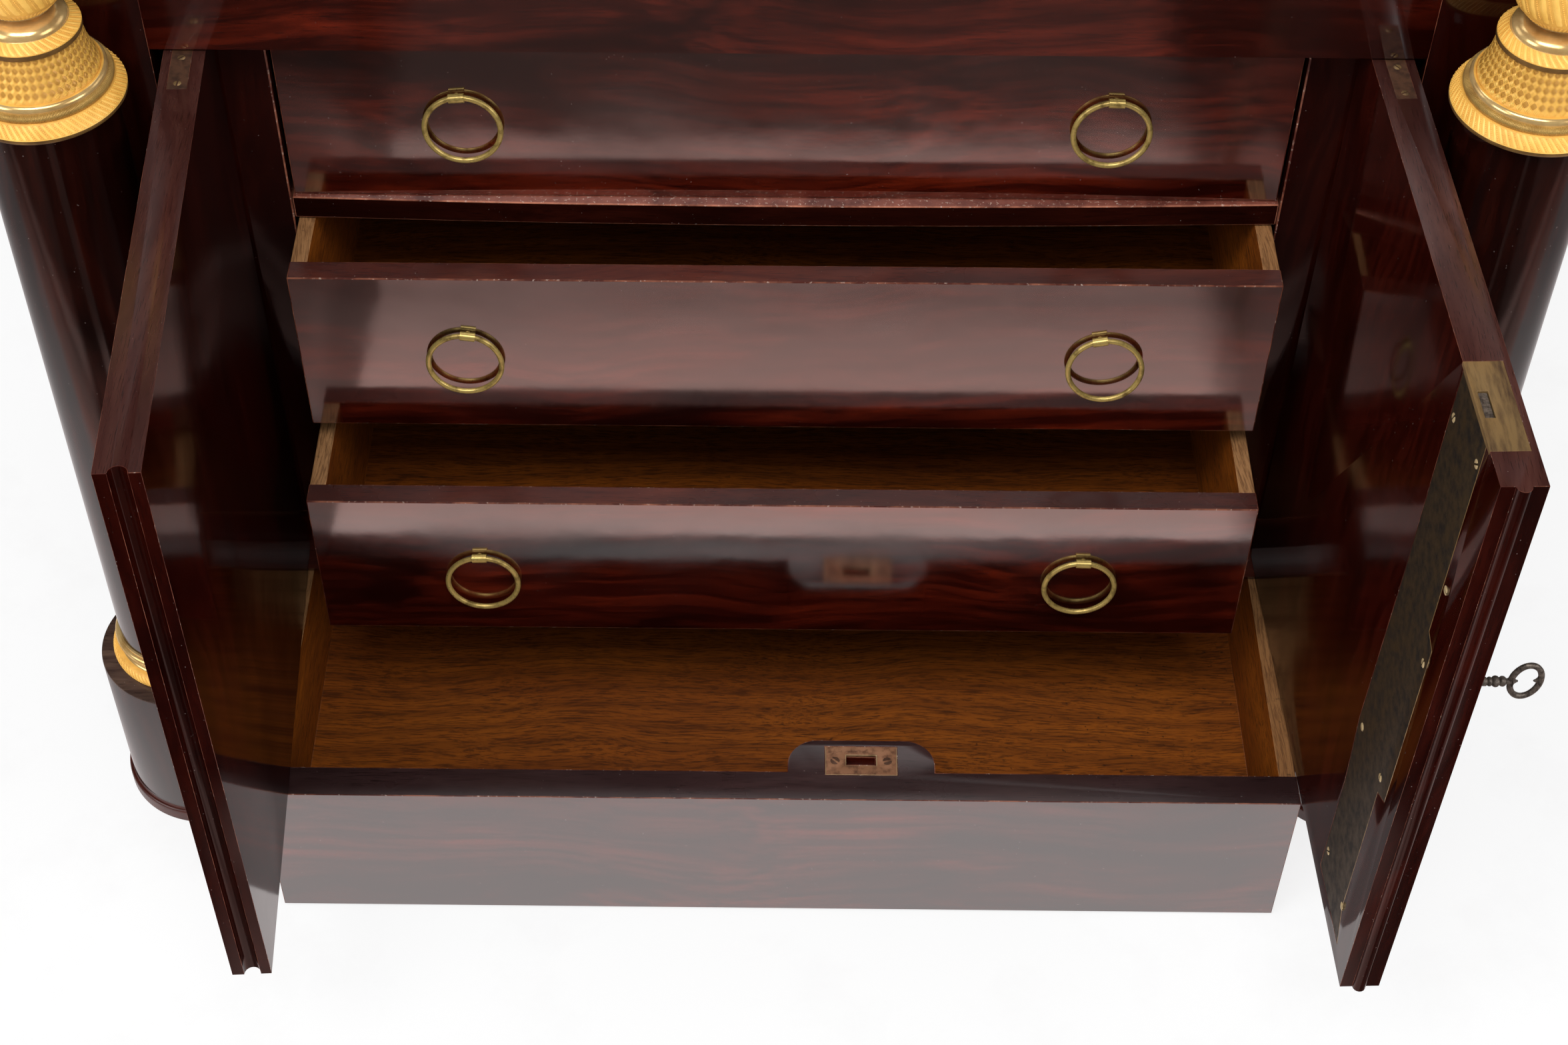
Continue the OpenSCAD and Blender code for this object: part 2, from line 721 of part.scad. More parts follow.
module inner_box(i) color(oak) at_drawer(i) translate([0, front_t, 0])
    drawer_box(front_w - 1, drawer_l, drawer_hs[i - 1] - 0.5, drawer_side_t, drawer_bottom_up);

module at_ring(i) at_drawer(i)
    translate([0, -ring_out, drawer_hs[i - 1] - ring_downs[i - 1]]) children();

// Hangs its children from the eye of one ring, whose axis runs through the origin
module hung(i, side) {
    k = side < 0 ? 0 : 1;
    at_ring(i) translate([side * ring_x, 0, 0]) rotate([0, ring_turns[i - 1][k], 0])
        children();
}

module eyes(i) color(brass) for (side = [-1, 1]) hung(i, side) {
    rotate([0, 90, 0]) difference() {
        cylinder(r = eye_r[0], h = eye_l, center = true);
        cylinder(r = eye_r[1], h = eye_l + 1, center = true);
    }
    translate([0, (eye_r[0] + eye_r[1]) / 2, 0]) rotate([-90, 0, 0])
        cylinder(r = eye_shank_r, h = ring_out - (eye_r[0] + eye_r[1]) / 2);
}

// The wire's middle is over the eye's axis at mid length and under it at the eye's ends
module ring(i, side) color(brass) hung(i, side)
    rotate([-ring_swings[i - 1][side < 0 ? 0 : 1], 0, 0])
        translate([0, 0, -(ring_r + sqrt(ring_r * ring_r - eye_l * eye_l / 4)) / 2])
            rotate([90, 0, 0]) rotate_extrude() translate([ring_r, 0]) circle(r = wire_r);

// Plinth drawer

module at_plinth() translate([0, -pull_plinth, 0]) children();

module lock_block_plan() {
    w = lock_block[0];
    r = lock_block_r;
    d = lock_block[1];
    translate([-w / 2 + r, 0]) square([w - 2 * r, d]);
    translate([-w / 2, 0]) square([w, d - r]);
    for (x = [-w / 2 + r, w / 2 - r]) translate([x, d - r]) intersection() {
        circle(r = r);
        translate([-r, r - d]) square([2 * r, d]);
    }
}

module lock_slot_space() {
    translate([lock_block_x, lock_plate[2] + lock_plate[1] / 2 + 0.5, plinth_top])
        block(around(0, lock_slot[0] / 2), around(0, lock_slot[1] / 2), [-lock_slot[2], 1]);
}

module lock_plate_block(t) {
    block(around(lock_block_x, lock_plate[0] / 2), [lock_plate[2], lock_plate[2] + lock_plate[1]],
        [plinth_top - plate_t, plinth_top - plate_t + t]);
}

module plinth_drawer_front() color(mahogany) at_plinth() difference() {
    union() {
        block([-plinth_half, plinth_half], [0, plinth_front_t], [plinth_air, plinth_top]);
        translate([lock_block_x, plinth_front_t - eps, plinth_top - lock_block[2]])
            linear_extrude(lock_block[2]) lock_block_plan();
    }
    lock_plate_block(plate_t + 1);
    lock_slot_space();
}

module plinth_lock_plate() color(brass) at_plinth() difference() {
    lock_plate_block(plate_t);
    lock_slot_space();
}

module plinth_drawer_box() color(oak) at_plinth() {
    h = plinth_top - plinth_side_up - 0.5;
    floor_up = h - plinth_inside - drawer_bottom_t;
    translate([0, plinth_front_t, plinth_side_up])
        drawer_box(2 * plinth_half - 1, plinth_l, h, plinth_side_t, floor_up);
}

// Writing flap, shut

module flap_panel() color(mahogany) difference() {
    union() {
        block([-flap_half, flap_half], [0, flap_t], [flap_pivot[1], flap_top]);
        translate([-flap_half, flap_pivot[0], flap_pivot[1]]) rotate([0, 90, 0])
            cylinder(r = flap_t / 2, h = 2 * flap_half);
    }
    leather_block(1);
}

module leather_block(over) {
    mid = flap_pivot[1] + flap_h / 2;
    block(around(0, leather[0] / 2), [flap_t - leather_t, flap_t + over],
        around(mid, leather[1] / 2));
}

module flap_leather() color(hide) leather_block(0);

// Quarter rings about the hinge, each with a foot screwed to the flap
module flap_stays() color(brass) both_sides() {
    t = stay_bar[1];
    inner = stay_r - stay_bar[0];
    translate([stay_x - t / 2, flap_pivot[0], flap_pivot[1]]) intersection() {
        rotate([0, 90, 0]) difference() {
            cylinder(r = stay_r, h = t);
            translate([0, 0, -1]) cylinder(r = inner, h = t + 2);
        }
        block([-1, t + 1], [flap_t / 2, stay_r + 1], [-20, stay_r + 1]);
    }
    block(around(stay_x, 4.5), [flap_t, flap_t + 3],
        [flap_pivot[1] + inner - 11, flap_pivot[1] + stay_r + 11]);
}

side_panel(-1);  // side_left
side_panel(1);  // side_right
pilaster(-1);  // pilaster_left
pilaster(1);  // pilaster_right
inner_stile(-1);  // inner_stile_left
inner_stile(1);  // inner_stile_right
door_rail();
divider_upper();
divider_lower();
case_bottom();
drawer_runners();
back_panel();
desk_deck();
interior_frame();
frieze_frame();
top_board();
marble_top();
drum(-1);  // drum_left
drum(1);  // drum_right
column_base(-1);  // base_left
column_base(1);  // base_right
lower_shaft(-1);  // shaft_left
lower_shaft(1);  // shaft_right
mount(-1);  // mount_left
mount(1);  // mount_right
upper_shaft(-1);  // upper_shaft_left
upper_shaft(1);  // upper_shaft_right
capital(-1);  // capital_left
capital(1);  // capital_right
door_left();
door_right();
hinge_leaves(-1);  // hinge_leaves_left
hinge_leaves(1);  // hinge_leaves_right
hinge_leaves_case();
lock_faceplate();
lock_cover();
lock_bolt();
door_key();
drawer_front(3);  // drawer_1_front
inner_box(3);  // drawer_1_box
eyes(3);  // drawer_1_eyes
drawer_front(2);  // drawer_2_front
inner_box(2);  // drawer_2_box
eyes(2);  // drawer_2_eyes
drawer_front(1);  // drawer_3_front
inner_box(1);  // drawer_3_box
eyes(1);  // drawer_3_eyes
ring(3, -1);  // ring_1_left
ring(3, 1);  // ring_1_right
ring(2, -1);  // ring_2_left
ring(2, 1);  // ring_2_right
ring(1, -1);  // ring_3_left
ring(1, 1);  // ring_3_right
plinth_drawer_front();
plinth_drawer_box();
plinth_lock_plate();
flap_panel();
flap_leather();
flap_stays();
frieze_drawer();
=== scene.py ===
"""Drop-front secretary, doors open, two inner drawers and the plinth drawer pulled out."""
import json
import math

import bmesh
import bpy
from mathutils import Matrix, Vector


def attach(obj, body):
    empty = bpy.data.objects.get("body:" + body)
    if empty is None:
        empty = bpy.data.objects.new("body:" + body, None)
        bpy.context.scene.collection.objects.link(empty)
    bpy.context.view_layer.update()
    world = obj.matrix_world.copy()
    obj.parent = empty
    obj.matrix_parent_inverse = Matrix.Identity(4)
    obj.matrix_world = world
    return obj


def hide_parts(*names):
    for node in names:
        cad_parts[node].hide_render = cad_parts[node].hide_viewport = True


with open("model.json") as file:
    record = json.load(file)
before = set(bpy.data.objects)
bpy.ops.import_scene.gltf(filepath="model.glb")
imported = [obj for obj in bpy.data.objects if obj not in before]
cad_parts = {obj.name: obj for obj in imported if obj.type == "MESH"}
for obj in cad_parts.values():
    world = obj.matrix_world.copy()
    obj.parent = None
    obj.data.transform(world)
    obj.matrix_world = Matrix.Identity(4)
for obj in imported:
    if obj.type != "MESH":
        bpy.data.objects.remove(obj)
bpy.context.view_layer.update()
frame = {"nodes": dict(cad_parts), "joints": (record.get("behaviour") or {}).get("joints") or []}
nodes = frame["nodes"]
scene = bpy.context.scene
MM = 0.001
TURN = 2 * math.pi


def ends(node, axis):
    """Lowest and highest place of a CAD node along an axis, 0 to 2, in millimetres."""
    places = [vertex.co[axis] / MM for vertex in nodes[node].data.vertices]
    return round(min(places), 2), round(max(places), 2)


def middle(node, axis):
    return sum(ends(node, axis)) / 2


# Materials


def linear(hex_colour):
    """sRGB hex to a linear colour with full alpha."""
    channels = [int(hex_colour[i:i + 2], 16) / 255 for i in (1, 3, 5)]
    return [c / 12.92 if c <= 0.04045 else ((c + 0.055) / 1.055) ** 2.4 for c in channels] + [1.0]


def add(tree, kind, inputs=None, **settings):
    """Adds a node. Settings are its own. An input is a value to set, a socket to link, or a node
    whose first output is linked."""
    node = tree.nodes.new(kind)
    for name, value in settings.items():
        setattr(node, name, value)
    for key, value in (inputs or {}).items():
        if isinstance(value, bpy.types.Node):
            value = value.outputs[0]
        if isinstance(value, bpy.types.NodeSocket):
            tree.links.new(value, node.inputs[key])
        else:
            node.inputs[key].default_value = value
    return node


def new_material(name):
    """An empty material, its tree and the object coordinates in it."""
    material = bpy.data.materials.new(name)
    material.use_nodes = True
    tree = material.node_tree
    tree.nodes.clear()
    return material, tree, add(tree, "ShaderNodeTexCoord").outputs["Object"]


def close_material(tree, **surface):
    """Ends a material in one Principled surface; underscores in the names stand for spaces."""
    inputs = {name.replace("_", " "): value for name, value in surface.items()}
    add(tree, "ShaderNodeOutputMaterial", {
        "Surface": add(tree, "ShaderNodeBsdfPrincipled", inputs)})


def uneven(tree, place, per_metre, detail=3.0, roughness=0.5, warp=0.0, turn=(0, 0, 0)):
    """Level, from 0 to 1, of a pattern with so many patches to the metre, or so many along each
    axis, turned by degrees about each."""
    scale = per_metre
    if isinstance(per_metre, tuple):
        scale = 1.0
        place = add(tree, "ShaderNodeMapping", {
            "Vector": place, "Scale": per_metre, "Rotation": [math.radians(a) for a in turn]})
    return add(tree, "ShaderNodeTexNoise", {
        "Vector": place, "Scale": scale, "Detail": detail, "Roughness": roughness,
        "Distortion": warp})


def layered(tree, ground, *layers):
    """A colour with layers over it. A layer is the level of a pattern, the levels where it starts
    and where it is thickest, how much it hides there, and its colour."""
    colour = linear(ground)
    for level, start, thickest, hides, tint in layers:
        share = add(tree, "ShaderNodeMapRange", {
            "Value": level, "From Min": start, "From Max": thickest, "To Max": hides})
        colour = add(tree, "ShaderNodeMix", {"Factor": share, 6: colour, 7: linear(tint)},
                     data_type="RGBA").outputs[2]
    return colour


def along(tree, place, grain, shift=0.0):
    """Coordinates turned so that the wood's grain runs along the first one."""
    turn = {"X": (0, 0, 0), "Y": (0, 0, -90), "Z": (0, 90, 0)}[grain]
    return add(tree, "ShaderNodeMapping", {
        "Vector": place, "Rotation": [math.radians(a) for a in turn],
        "Location": (shift, shift * 1.7, shift * 0.6)})


def mahogany(name, grain, shift=0.0, dark="#140201", mid="#3c0c04", light="#7a2510",
             flame=1.0, gloss=0.07, coat_ior=2.6, polish=1.0):
    """French-polished mahogany: dark red-brown with flames that cross the grain, under a gloss
    that mirrors the pale floor. The coat's index is over shellac's 1.5, because the floor in
    the photograph is brighter than white."""
    material, tree, place = new_material(name)
    wood = along(tree, place, grain, shift)
    # the figure wanders up to 55 mm off its line, in swings about 300 mm long
    swing = add(tree, "ShaderNodeVectorMath", {
        0: uneven(tree, wood, 3.2, 2.0).outputs["Color"], 1: (0.5, 0.5, 0.5)},
        operation="SUBTRACT")
    swing = add(tree, "ShaderNodeVectorMath", {0: swing, "Scale": 0.11}, operation="SCALE")
    bent = add(tree, "ShaderNodeVectorMath", {0: wood, 1: swing}, operation="ADD")
    # flames 250 mm long and 60 mm wide, leaning 35 degrees off the grain
    flames = add(tree, "ShaderNodeMapRange", {
        "Value": uneven(tree, bent, (4.2, 15, 15), 4.0, 0.55, 0.6, (0, 0, 35)),
        "From Min": 0.36, "From Max": 0.66})
    figure = add(tree, "ShaderNodeMapRange", {
        "Value": flames, "To Min": 0.15, "To Max": 0.15 + 0.8 * flame})
    # growth streaks about 9 mm wide, pores 0.7 mm wide and 14 mm long, dust under a millimetre
    streaks = uneven(tree, bent, (4, 110, 110), 5.0, 0.6)
    pores = uneven(tree, wood, (70, 1500, 1500), 2.0)
    dust = uneven(tree, place, 620.0, 1.0)
    pale_streaks = add(tree, "ShaderNodeMapRange", {
        "Value": streaks, "From Min": 0.42, "From Max": 0.72})
    lit = add(tree, "ShaderNodeMath", {0: pale_streaks, 1: flames}, operation="MULTIPLY")
    colour = layered(
        tree, dark, (figure, 0.0, 1.0, 1.0, mid), (lit, 0.0, 1.0, 0.7 * flame, light),
        (streaks, 0.5, 0.3, 0.4, dark), (pores, 0.58, 0.68, 0.6, "#0d0302"),
        (dust, 0.785, 0.80, 0.5, "#9a8d88"))
    # the polish waves a little over 60 mm, pulls over 4 mm and has dull hand-worn clouds
    coat = add(tree, "ShaderNodeBump", {
        "Height": uneven(tree, place, 17.0, 2.0, 0.4), "Strength": 0.25, "Distance": 1.2 * MM})
    coat = add(tree, "ShaderNodeBump", {
        "Height": uneven(tree, place, 260.0, 2.0), "Strength": 0.05, "Distance": 0.12 * MM,
        "Normal": coat})
    dull = add(tree, "ShaderNodeMapRange", {
        "Value": uneven(tree, place, 9.0, 4.0, 0.6), "From Min": 0.35, "From Max": 0.75,
        "To Min": gloss, "To Max": gloss + 0.09})
    grain_relief = add(tree, "ShaderNodeBump", {
        "Height": streaks, "Strength": 0.15, "Distance": 0.2 * MM})
    close_material(
        tree, Base_Color=colour, Roughness=0.5, IOR=1.5, Specular_IOR_Level=0.0,
        Normal=grain_relief, Coat_Weight=polish, Coat_IOR=coat_ior, Coat_Roughness=dull,
        Coat_Normal=coat)
    return material


def rubbed_arris(name, light="#a06a4c", worn=0.7):
    """Eased edge of polished mahogany, where the stain is rubbed through to paler wood."""
    material, tree, place = new_material(name)
    # rubbed patches about 26 mm long and nicks about 2 mm long
    rubbed = uneven(tree, place, 38.0, 5.0, 0.65)
    nicks = uneven(tree, place, 420.0, 3.0, 0.6)
    colour = layered(
        tree, "#4a1d14", (rubbed, 0.44 - 0.4 * max(0.0, worn - 0.7), 0.62, worn, light),
        (nicks, 0.60, 0.68, 0.5, "#d8c4b4"))
    close_material(tree, Base_Color=colour, Roughness=0.45, IOR=1.5, Specular_IOR_Level=0.2,
                   Coat_Weight=0.3, Coat_Roughness=0.25)
    return material


def oak(name, grain, shift=0.0, dark="#2c1002", mid="#743807", light="#95500f", rings=0.9):
    """Waxed old oak: brown, with long dark pores and, on flat-sawn boards, nested arches."""
    material, tree, place = new_material(name)
    straight = along(tree, place, grain, shift)
    # the grain strays 12 mm off its line over 200 mm
    stray = add(tree, "ShaderNodeVectorMath", {
        0: uneven(tree, straight, (4, 9, 9), 2.0).outputs["Color"], "Scale": 0.05},
        operation="SCALE")
    wood = add(tree, "ShaderNodeVectorMath", {0: straight, 1: stray}, operation="ADD")
    # arches 8 mm apart across the board and drawn out 15 times along it
    drawn_out = add(tree, "ShaderNodeMapping", {
        "Vector": wood, "Scale": (0.066, 1, 0.02), "Rotation": (0, 0, math.radians(1.5)),
        "Location": (0.0, 0.09, 0)})
    arches = add(tree, "ShaderNodeTexWave", {
        "Vector": drawn_out, "Scale": 19.0, "Distortion": 3.2, "Detail": 3.0,
        "Detail Scale": 1.6, "Detail Roughness": 0.62},
        wave_type="RINGS", rings_direction="Z").outputs["Fac"]
    # broad tones, fine grain 3 mm wide, summer growth in strokes 1.5 mm wide, pores 1 mm wide
    tones = uneven(tree, straight, (3, 14, 14))
    fine = uneven(tree, wood, (9, 330, 330), 4.0, 0.65)
    strokes = uneven(tree, wood, (40, 640, 640), 3.0, 0.7)
    pores = uneven(tree, wood, (52, 1050, 1050), 3.0, 0.6)
    # dark ink and damp spots about 3 mm wide, thicker in places
    spots = add(tree, "ShaderNodeMapRange", {
        "Value": uneven(tree, place, 210.0, 2.0), "From Min": 0.66, "From Max": 0.74})
    stained = add(tree, "ShaderNodeMapRange", {
        "Value": uneven(tree, place, 5.0, 2.0), "From Min": 0.42, "From Max": 0.7})
    spots = add(tree, "ShaderNodeMath", {0: spots, 1: stained}, operation="MULTIPLY")
    colour = layered(
        tree, mid, (tones, 0.3, 0.7, 1.0, light), (arches, 0.3, 0.9, 0.3 * rings, dark),
        (fine, 0.46, 0.66, 0.35, mid), (strokes, 0.50, 0.62, 0.62, dark),
        (pores, 0.52, 0.64, 0.6, dark), (spots, 0.0, 1.0, 0.75, "#120802"))
    close_material(tree, Base_Color=colour, Roughness=0.55, IOR=1.5, Specular_IOR_Level=0.25,
                   Normal=add(tree, "ShaderNodeBump", {
                       "Height": pores, "Strength": 0.5, "Distance": -0.25 * MM}))
    return material


def gilding(name, colour="#e2b04a", shade="#9a6a22", roughness=0.36, grit=0.35, reeds=0,
            metal=0.5):
    """Mercury gilding on bronze: fine matte grit that scatters most of the light, or burnished
    bright. Reeds are fine ribs counted round the column."""
    material, tree, place = new_material(name)
    # clouds 18 mm wide and grit 0.5 mm wide
    cloud = uneven(tree, place, 55.0, 4.0, 0.6)
    specks = uneven(tree, place, 1900.0, 2.0, 0.6)
    tone = layered(tree, colour, (cloud, 0.35, 0.72, 1.0, shade),
                   (specks, 0.6, 0.75, 0.5 * grit, "#5b3a10"))
    relief = add(tree, "ShaderNodeBump", {
        "Height": specks, "Strength": grit, "Distance": 0.12 * MM})
    if reeds:
        across = add(tree, "ShaderNodeSeparateXYZ", {0: add(tree, "ShaderNodeUVMap")})
        ribs = add(tree, "ShaderNodeMath", {0: across, 1: TURN * reeds}, operation="MULTIPLY")
        ribs = add(tree, "ShaderNodeMath", {0: ribs}, operation="SINE")
        relief = add(tree, "ShaderNodeBump", {
            "Height": ribs, "Strength": 1.0, "Distance": 0.25 * MM, "Normal": relief})
    dull = add(tree, "ShaderNodeMapRange", {
        "Value": cloud, "From Min": 0.3, "From Max": 0.75, "To Min": roughness,
        "To Max": roughness + 0.12})
    close_material(tree, Base_Color=tone, Metallic=metal, Normal=relief, Roughness=dull)
    return material


def old_brass(name, colour="#b29a58", tarnish="#54431f", roughness=0.24, amount=0.5,
              metal=0.6, clouds=(120, 120, 120)):
    """Worn cast brass: handled bright in places, brown tarnish in the rest, fine scratches."""
    material, tree, place = new_material(name)
    cloud = uneven(tree, place, clouds, 5.0, 0.65)
    scratches = uneven(tree, place, (300, 2600, 900), 2.0, turn=(20, 40, 15))
    tone = layered(
        tree, colour, (cloud, 0.62 - 0.3 * amount, 0.78 - 0.2 * amount, 1.0, tarnish))
    relief = add(tree, "ShaderNodeBump", {
        "Height": scratches, "Strength": 0.2, "Distance": 0.05 * MM})
    dull = add(tree, "ShaderNodeMapRange", {
        "Value": cloud, "From Min": 0.3, "From Max": 0.75, "To Min": roughness,
        "To Max": roughness + 0.22})
    close_material(tree, Base_Color=tone, Metallic=metal, Normal=relief, Roughness=dull)
    return material


def wrought_iron(name):
    """Old filed iron, brown-black, dull with a few worn bright spots under 3 mm wide."""
    material, tree, place = new_material(name)
    cloud = uneven(tree, place, 380.0, 5.0, 0.7)
    tone = layered(tree, "#4d443e", (cloud, 0.4, 0.7, 1.0, "#93867a"))
    close_material(tree, Base_Color=tone, Metallic=0.6, Roughness=0.46,
                   Normal=add(tree, "ShaderNodeBump", {
                       "Height": cloud, "Strength": 0.5, "Distance": 0.25 * MM}))
    return material


def tooled_leather(name):
    """Brown desk leather, goat grain about 1 mm wide, rubbed pale in patches."""
    material, tree, place = new_material(name)
    grain = add(tree, "ShaderNodeTexVoronoi", {"Vector": place, "Scale": 900.0},
                feature="SMOOTH_F1")
    rubbed = uneven(tree, place, 14.0, 4.0, 0.6)
    tone = layered(tree, "#35201a", (rubbed, 0.4, 0.7, 1.0, "#5b3a26"))
    close_material(tree, Base_Color=tone, Roughness=0.55, IOR=1.5,
                   Normal=add(tree, "ShaderNodeBump", {
                       "Height": grain.outputs["Distance"], "Strength": 0.5,
                       "Distance": 0.2 * MM}))
    return material


def grey_marble(name):
    """Polished dark grey marble with pale veins, about 170 mm apart, in grey clouds."""
    material, tree, place = new_material(name)
    fold = add(tree, "ShaderNodeVectorMath", {
        0: uneven(tree, place, 5.0, 6.0).outputs["Color"], "Scale": 0.35}, operation="SCALE")
    bent = add(tree, "ShaderNodeVectorMath", {0: place, 1: fold}, operation="ADD")
    veins = add(tree, "ShaderNodeTexVoronoi", {"Vector": bent, "Scale": 6.0},
                feature="DISTANCE_TO_EDGE").outputs["Distance"]
    cloud = uneven(tree, bent, 9.0, 6.0, 0.6)
    tone = layered(tree, "#2f3130", (cloud, 0.35, 0.7, 1.0, "#5c5f5d"),
                   (veins, 0.02, 0.0, 0.7, "#c9c6bd"))
    close_material(tree, Base_Color=tone, Roughness=0.16, IOR=1.55, Coat_Weight=0.4,
                   Coat_Roughness=0.05)
    return material


# Painted reflection: in a polish the floor is a glow set by place, not a lit floor. How bright a
# polish shows it: the direction in which it changes, out from the case or sideways from its middle,
# where the change starts and ends in metres, and the levels there
PAINTED_FLOOR_REFLECTION = {
    "before_case": ("out", -0.44, -0.36, 0.68, 1.0),
    "far_edge": ("out", -0.66, -0.61, 0.13, 1.0),
    "band_far": ("out", -0.575, -0.55, 0.0, 0.5),
    "band_near": ("out", -0.535, -0.47, 0.5, 0.0),
    # beyond the open doors the painted reflection is dimmed, as painted shade of the doors
    "beyond_doors": ("sideways", 0.385, 0.42, 1.0, 0.15),
    "beyond_columns": ("sideways", 0.6, 0.7, 0.0, 1.0),
    "beside_case": ("out", -0.37, -0.33, 0.0, 1.0),
    "wide_fade": ("sideways", 0.5, 1.2, 1.0, 0.25)}


def floor_with_painted_reflection(name):
    """Smooth white studio floor with faint scuffs. Seen by the camera it is a fixed near-white that
    keeps part of its shadow. In a polish it is a painted reflection: a glow whose brightness and tint
    are set by place, not by the lamps."""
    material, tree, place = new_material(name)
    tone = layered(tree, "#fcfcfc", (uneven(tree, place, 7.0, 6.0, 0.65), 0.5, 0.8, 0.5, "#f3f2f2"))
    rays = add(tree, "ShaderNodeLightPath")
    lit_share = add(tree, "ShaderNodeMath", {0: rays.outputs["Is Camera Ray"], 1: 0.8},
                    operation="MULTIPLY")
    seen = add(tree, "ShaderNodeMixShader", {
        0: lit_share, 1: add(tree, "ShaderNodeBsdfDiffuse", {"Color": tone}),
        2: add(tree, "ShaderNodeEmission", {"Color": tone, "Strength": 1.0})})
    # painted reflection in a polish: pale beside the case, falling off 620 mm before it with a dim
    # band
    # 540 mm off, painted shade beyond the open doors, and a painted warm tint further out from the
    # case that stands for the red of the old polish
    spot = add(tree, "ShaderNodeSeparateXYZ", {0: place})
    way = {"out": spot.outputs[1],
           "sideways": add(tree, "ShaderNodeMath", {0: spot}, operation="ABSOLUTE")}
    level = {part: add(tree, "ShaderNodeMapRange", {
        "Value": way[towards], "From Min": start, "From Max": end, "To Min": first, "To Max": last})
        for part, (towards, start, end, first, last) in PAINTED_FLOOR_REFLECTION.items()}
    level["band"] = add(tree, "ShaderNodeMath", {0: level["band_far"], 1: level["band_near"]},
                        operation="MINIMUM")
    level["off_band"] = add(tree, "ShaderNodeMath", {0: 1.0, 1: level["band"]},
                            operation="SUBTRACT")
    # painted reflection level: how bright the floor glows in a polish at each place
    bright = level["beyond_doors"]
    for part in ("beyond_columns", "beside_case"):
        bright = add(tree, "ShaderNodeMath", {0: bright, 1: level[part]}, operation="MAXIMUM")
    for part in ("before_case", "far_edge", "off_band", "wide_fade"):
        bright = add(tree, "ShaderNodeMath", {0: bright, 1: level[part]}, operation="MULTIPLY")
    painted_reflection_tint = layered(tree, "#ffd0c6", (spot.outputs[1], -0.37, -0.31, 1.0, "#f6edec"))
    # the painted reflection: a glow in the painted tint at the painted level
    image = add(tree, "ShaderNodeEmission", {"Color": painted_reflection_tint, "Strength": bright})
    mirrored = add(tree, "ShaderNodeMath", {
        0: rays.outputs["Is Glossy Ray"], 1: rays.outputs["Is Transmission Ray"]},
        operation="MAXIMUM")
    surface = add(tree, "ShaderNodeMixShader", {0: mirrored, 1: seen, 2: image})
    add(tree, "ShaderNodeOutputMaterial", {"Surface": surface})
    return material


fronts = mahogany("polished_mahogany_drawer_fronts", "X", 0.31, coat_ior=3.2)
plinth_wood = mahogany("polished_mahogany_plinth_drawer", "X", 0.12, coat_ior=2.75)
rails = mahogany("polished_mahogany_rails", "X", 1.37)
doors_wood = mahogany("polished_mahogany_doors", "Z", 0.77, dark="#130201", mid="#2c0804",
                      light="#4a160c", flame=0.55, coat_ior=1.55, polish=0.7)
stiles_wood = mahogany("polished_mahogany_uprights", "Z", 2.2, dark="#130201", mid="#2e0904",
                       light="#4a190c", flame=0.5, coat_ior=1.6)
flap_wood = mahogany("polished_mahogany_flap", "Z", 3.1, flame=1.2)
column_wood = mahogany("polished_mahogany_columns", "Z", 4.4, dark="#0c0302", mid="#260905",
                       light="#501b0d", flame=0.7, coat_ior=1.9)
edge_wood = mahogany("rubbed_mahogany_edges_across", "X", 0.5, dark="#30100a", mid="#551e13",
                     light="#7c3b26", flame=0.6, gloss=0.25, coat_ior=1.5)
edge_wood_deep = mahogany("rubbed_mahogany_edges_in_depth", "Y", 0.9, dark="#2c1512",
                          mid="#4b2620", light="#6f4a40", flame=0.5, gloss=0.2, coat_ior=1.5)
plinth_edge = mahogany("dull_mahogany_plinth_drawer_top", "X", 1.9, dark="#2a1a1a",
                       mid="#432d2c", light="#5f4644", flame=0.5, gloss=0.25, coat_ior=1.5)
inner_wood = mahogany("dull_mahogany_inner_faces", "X", 2.7, dark="#150402", mid="#2e0d07",
                      light="#4a1c10", flame=0.6, polish=0.0)
drum_top = mahogany("walnut_brown_drum_tops", "X", 5.2, dark="#2b1d18", mid="#4f3c34",
                    light="#7a6250", flame=0.7, gloss=0.2, coat_ior=1.6)
arris = rubbed_arris("rubbed_mahogany_arris", "#9a5f47")
bright_arris = rubbed_arris("bright_worn_divider_edge", "#b9745a", 1.0)
divider_top = rubbed_arris("worn_divider_tops", "#7d4436", 1.0)
oak_floor = oak("waxed_oak_drawer_bottoms", "X", 0.0)
oak_wall = oak("waxed_oak_drawer_sides", "Y", 0.6, rings=0.35)
oak_rim = oak("rubbed_oak_drawer_rims", "Y", 1.1, dark="#5a3820", mid="#8d6038", light="#b08358",
              rings=0.2)
oak_back = oak("bare_oak_carcass", "Z", 1.9, dark="#2f1d0d", mid="#6a4825", light="#7f5a32",
               rings=0.8)
gilt_matte = gilding("matte_gilding", "#fbc865", "#e6ad48", 0.4, 0.3, metal=0.1)
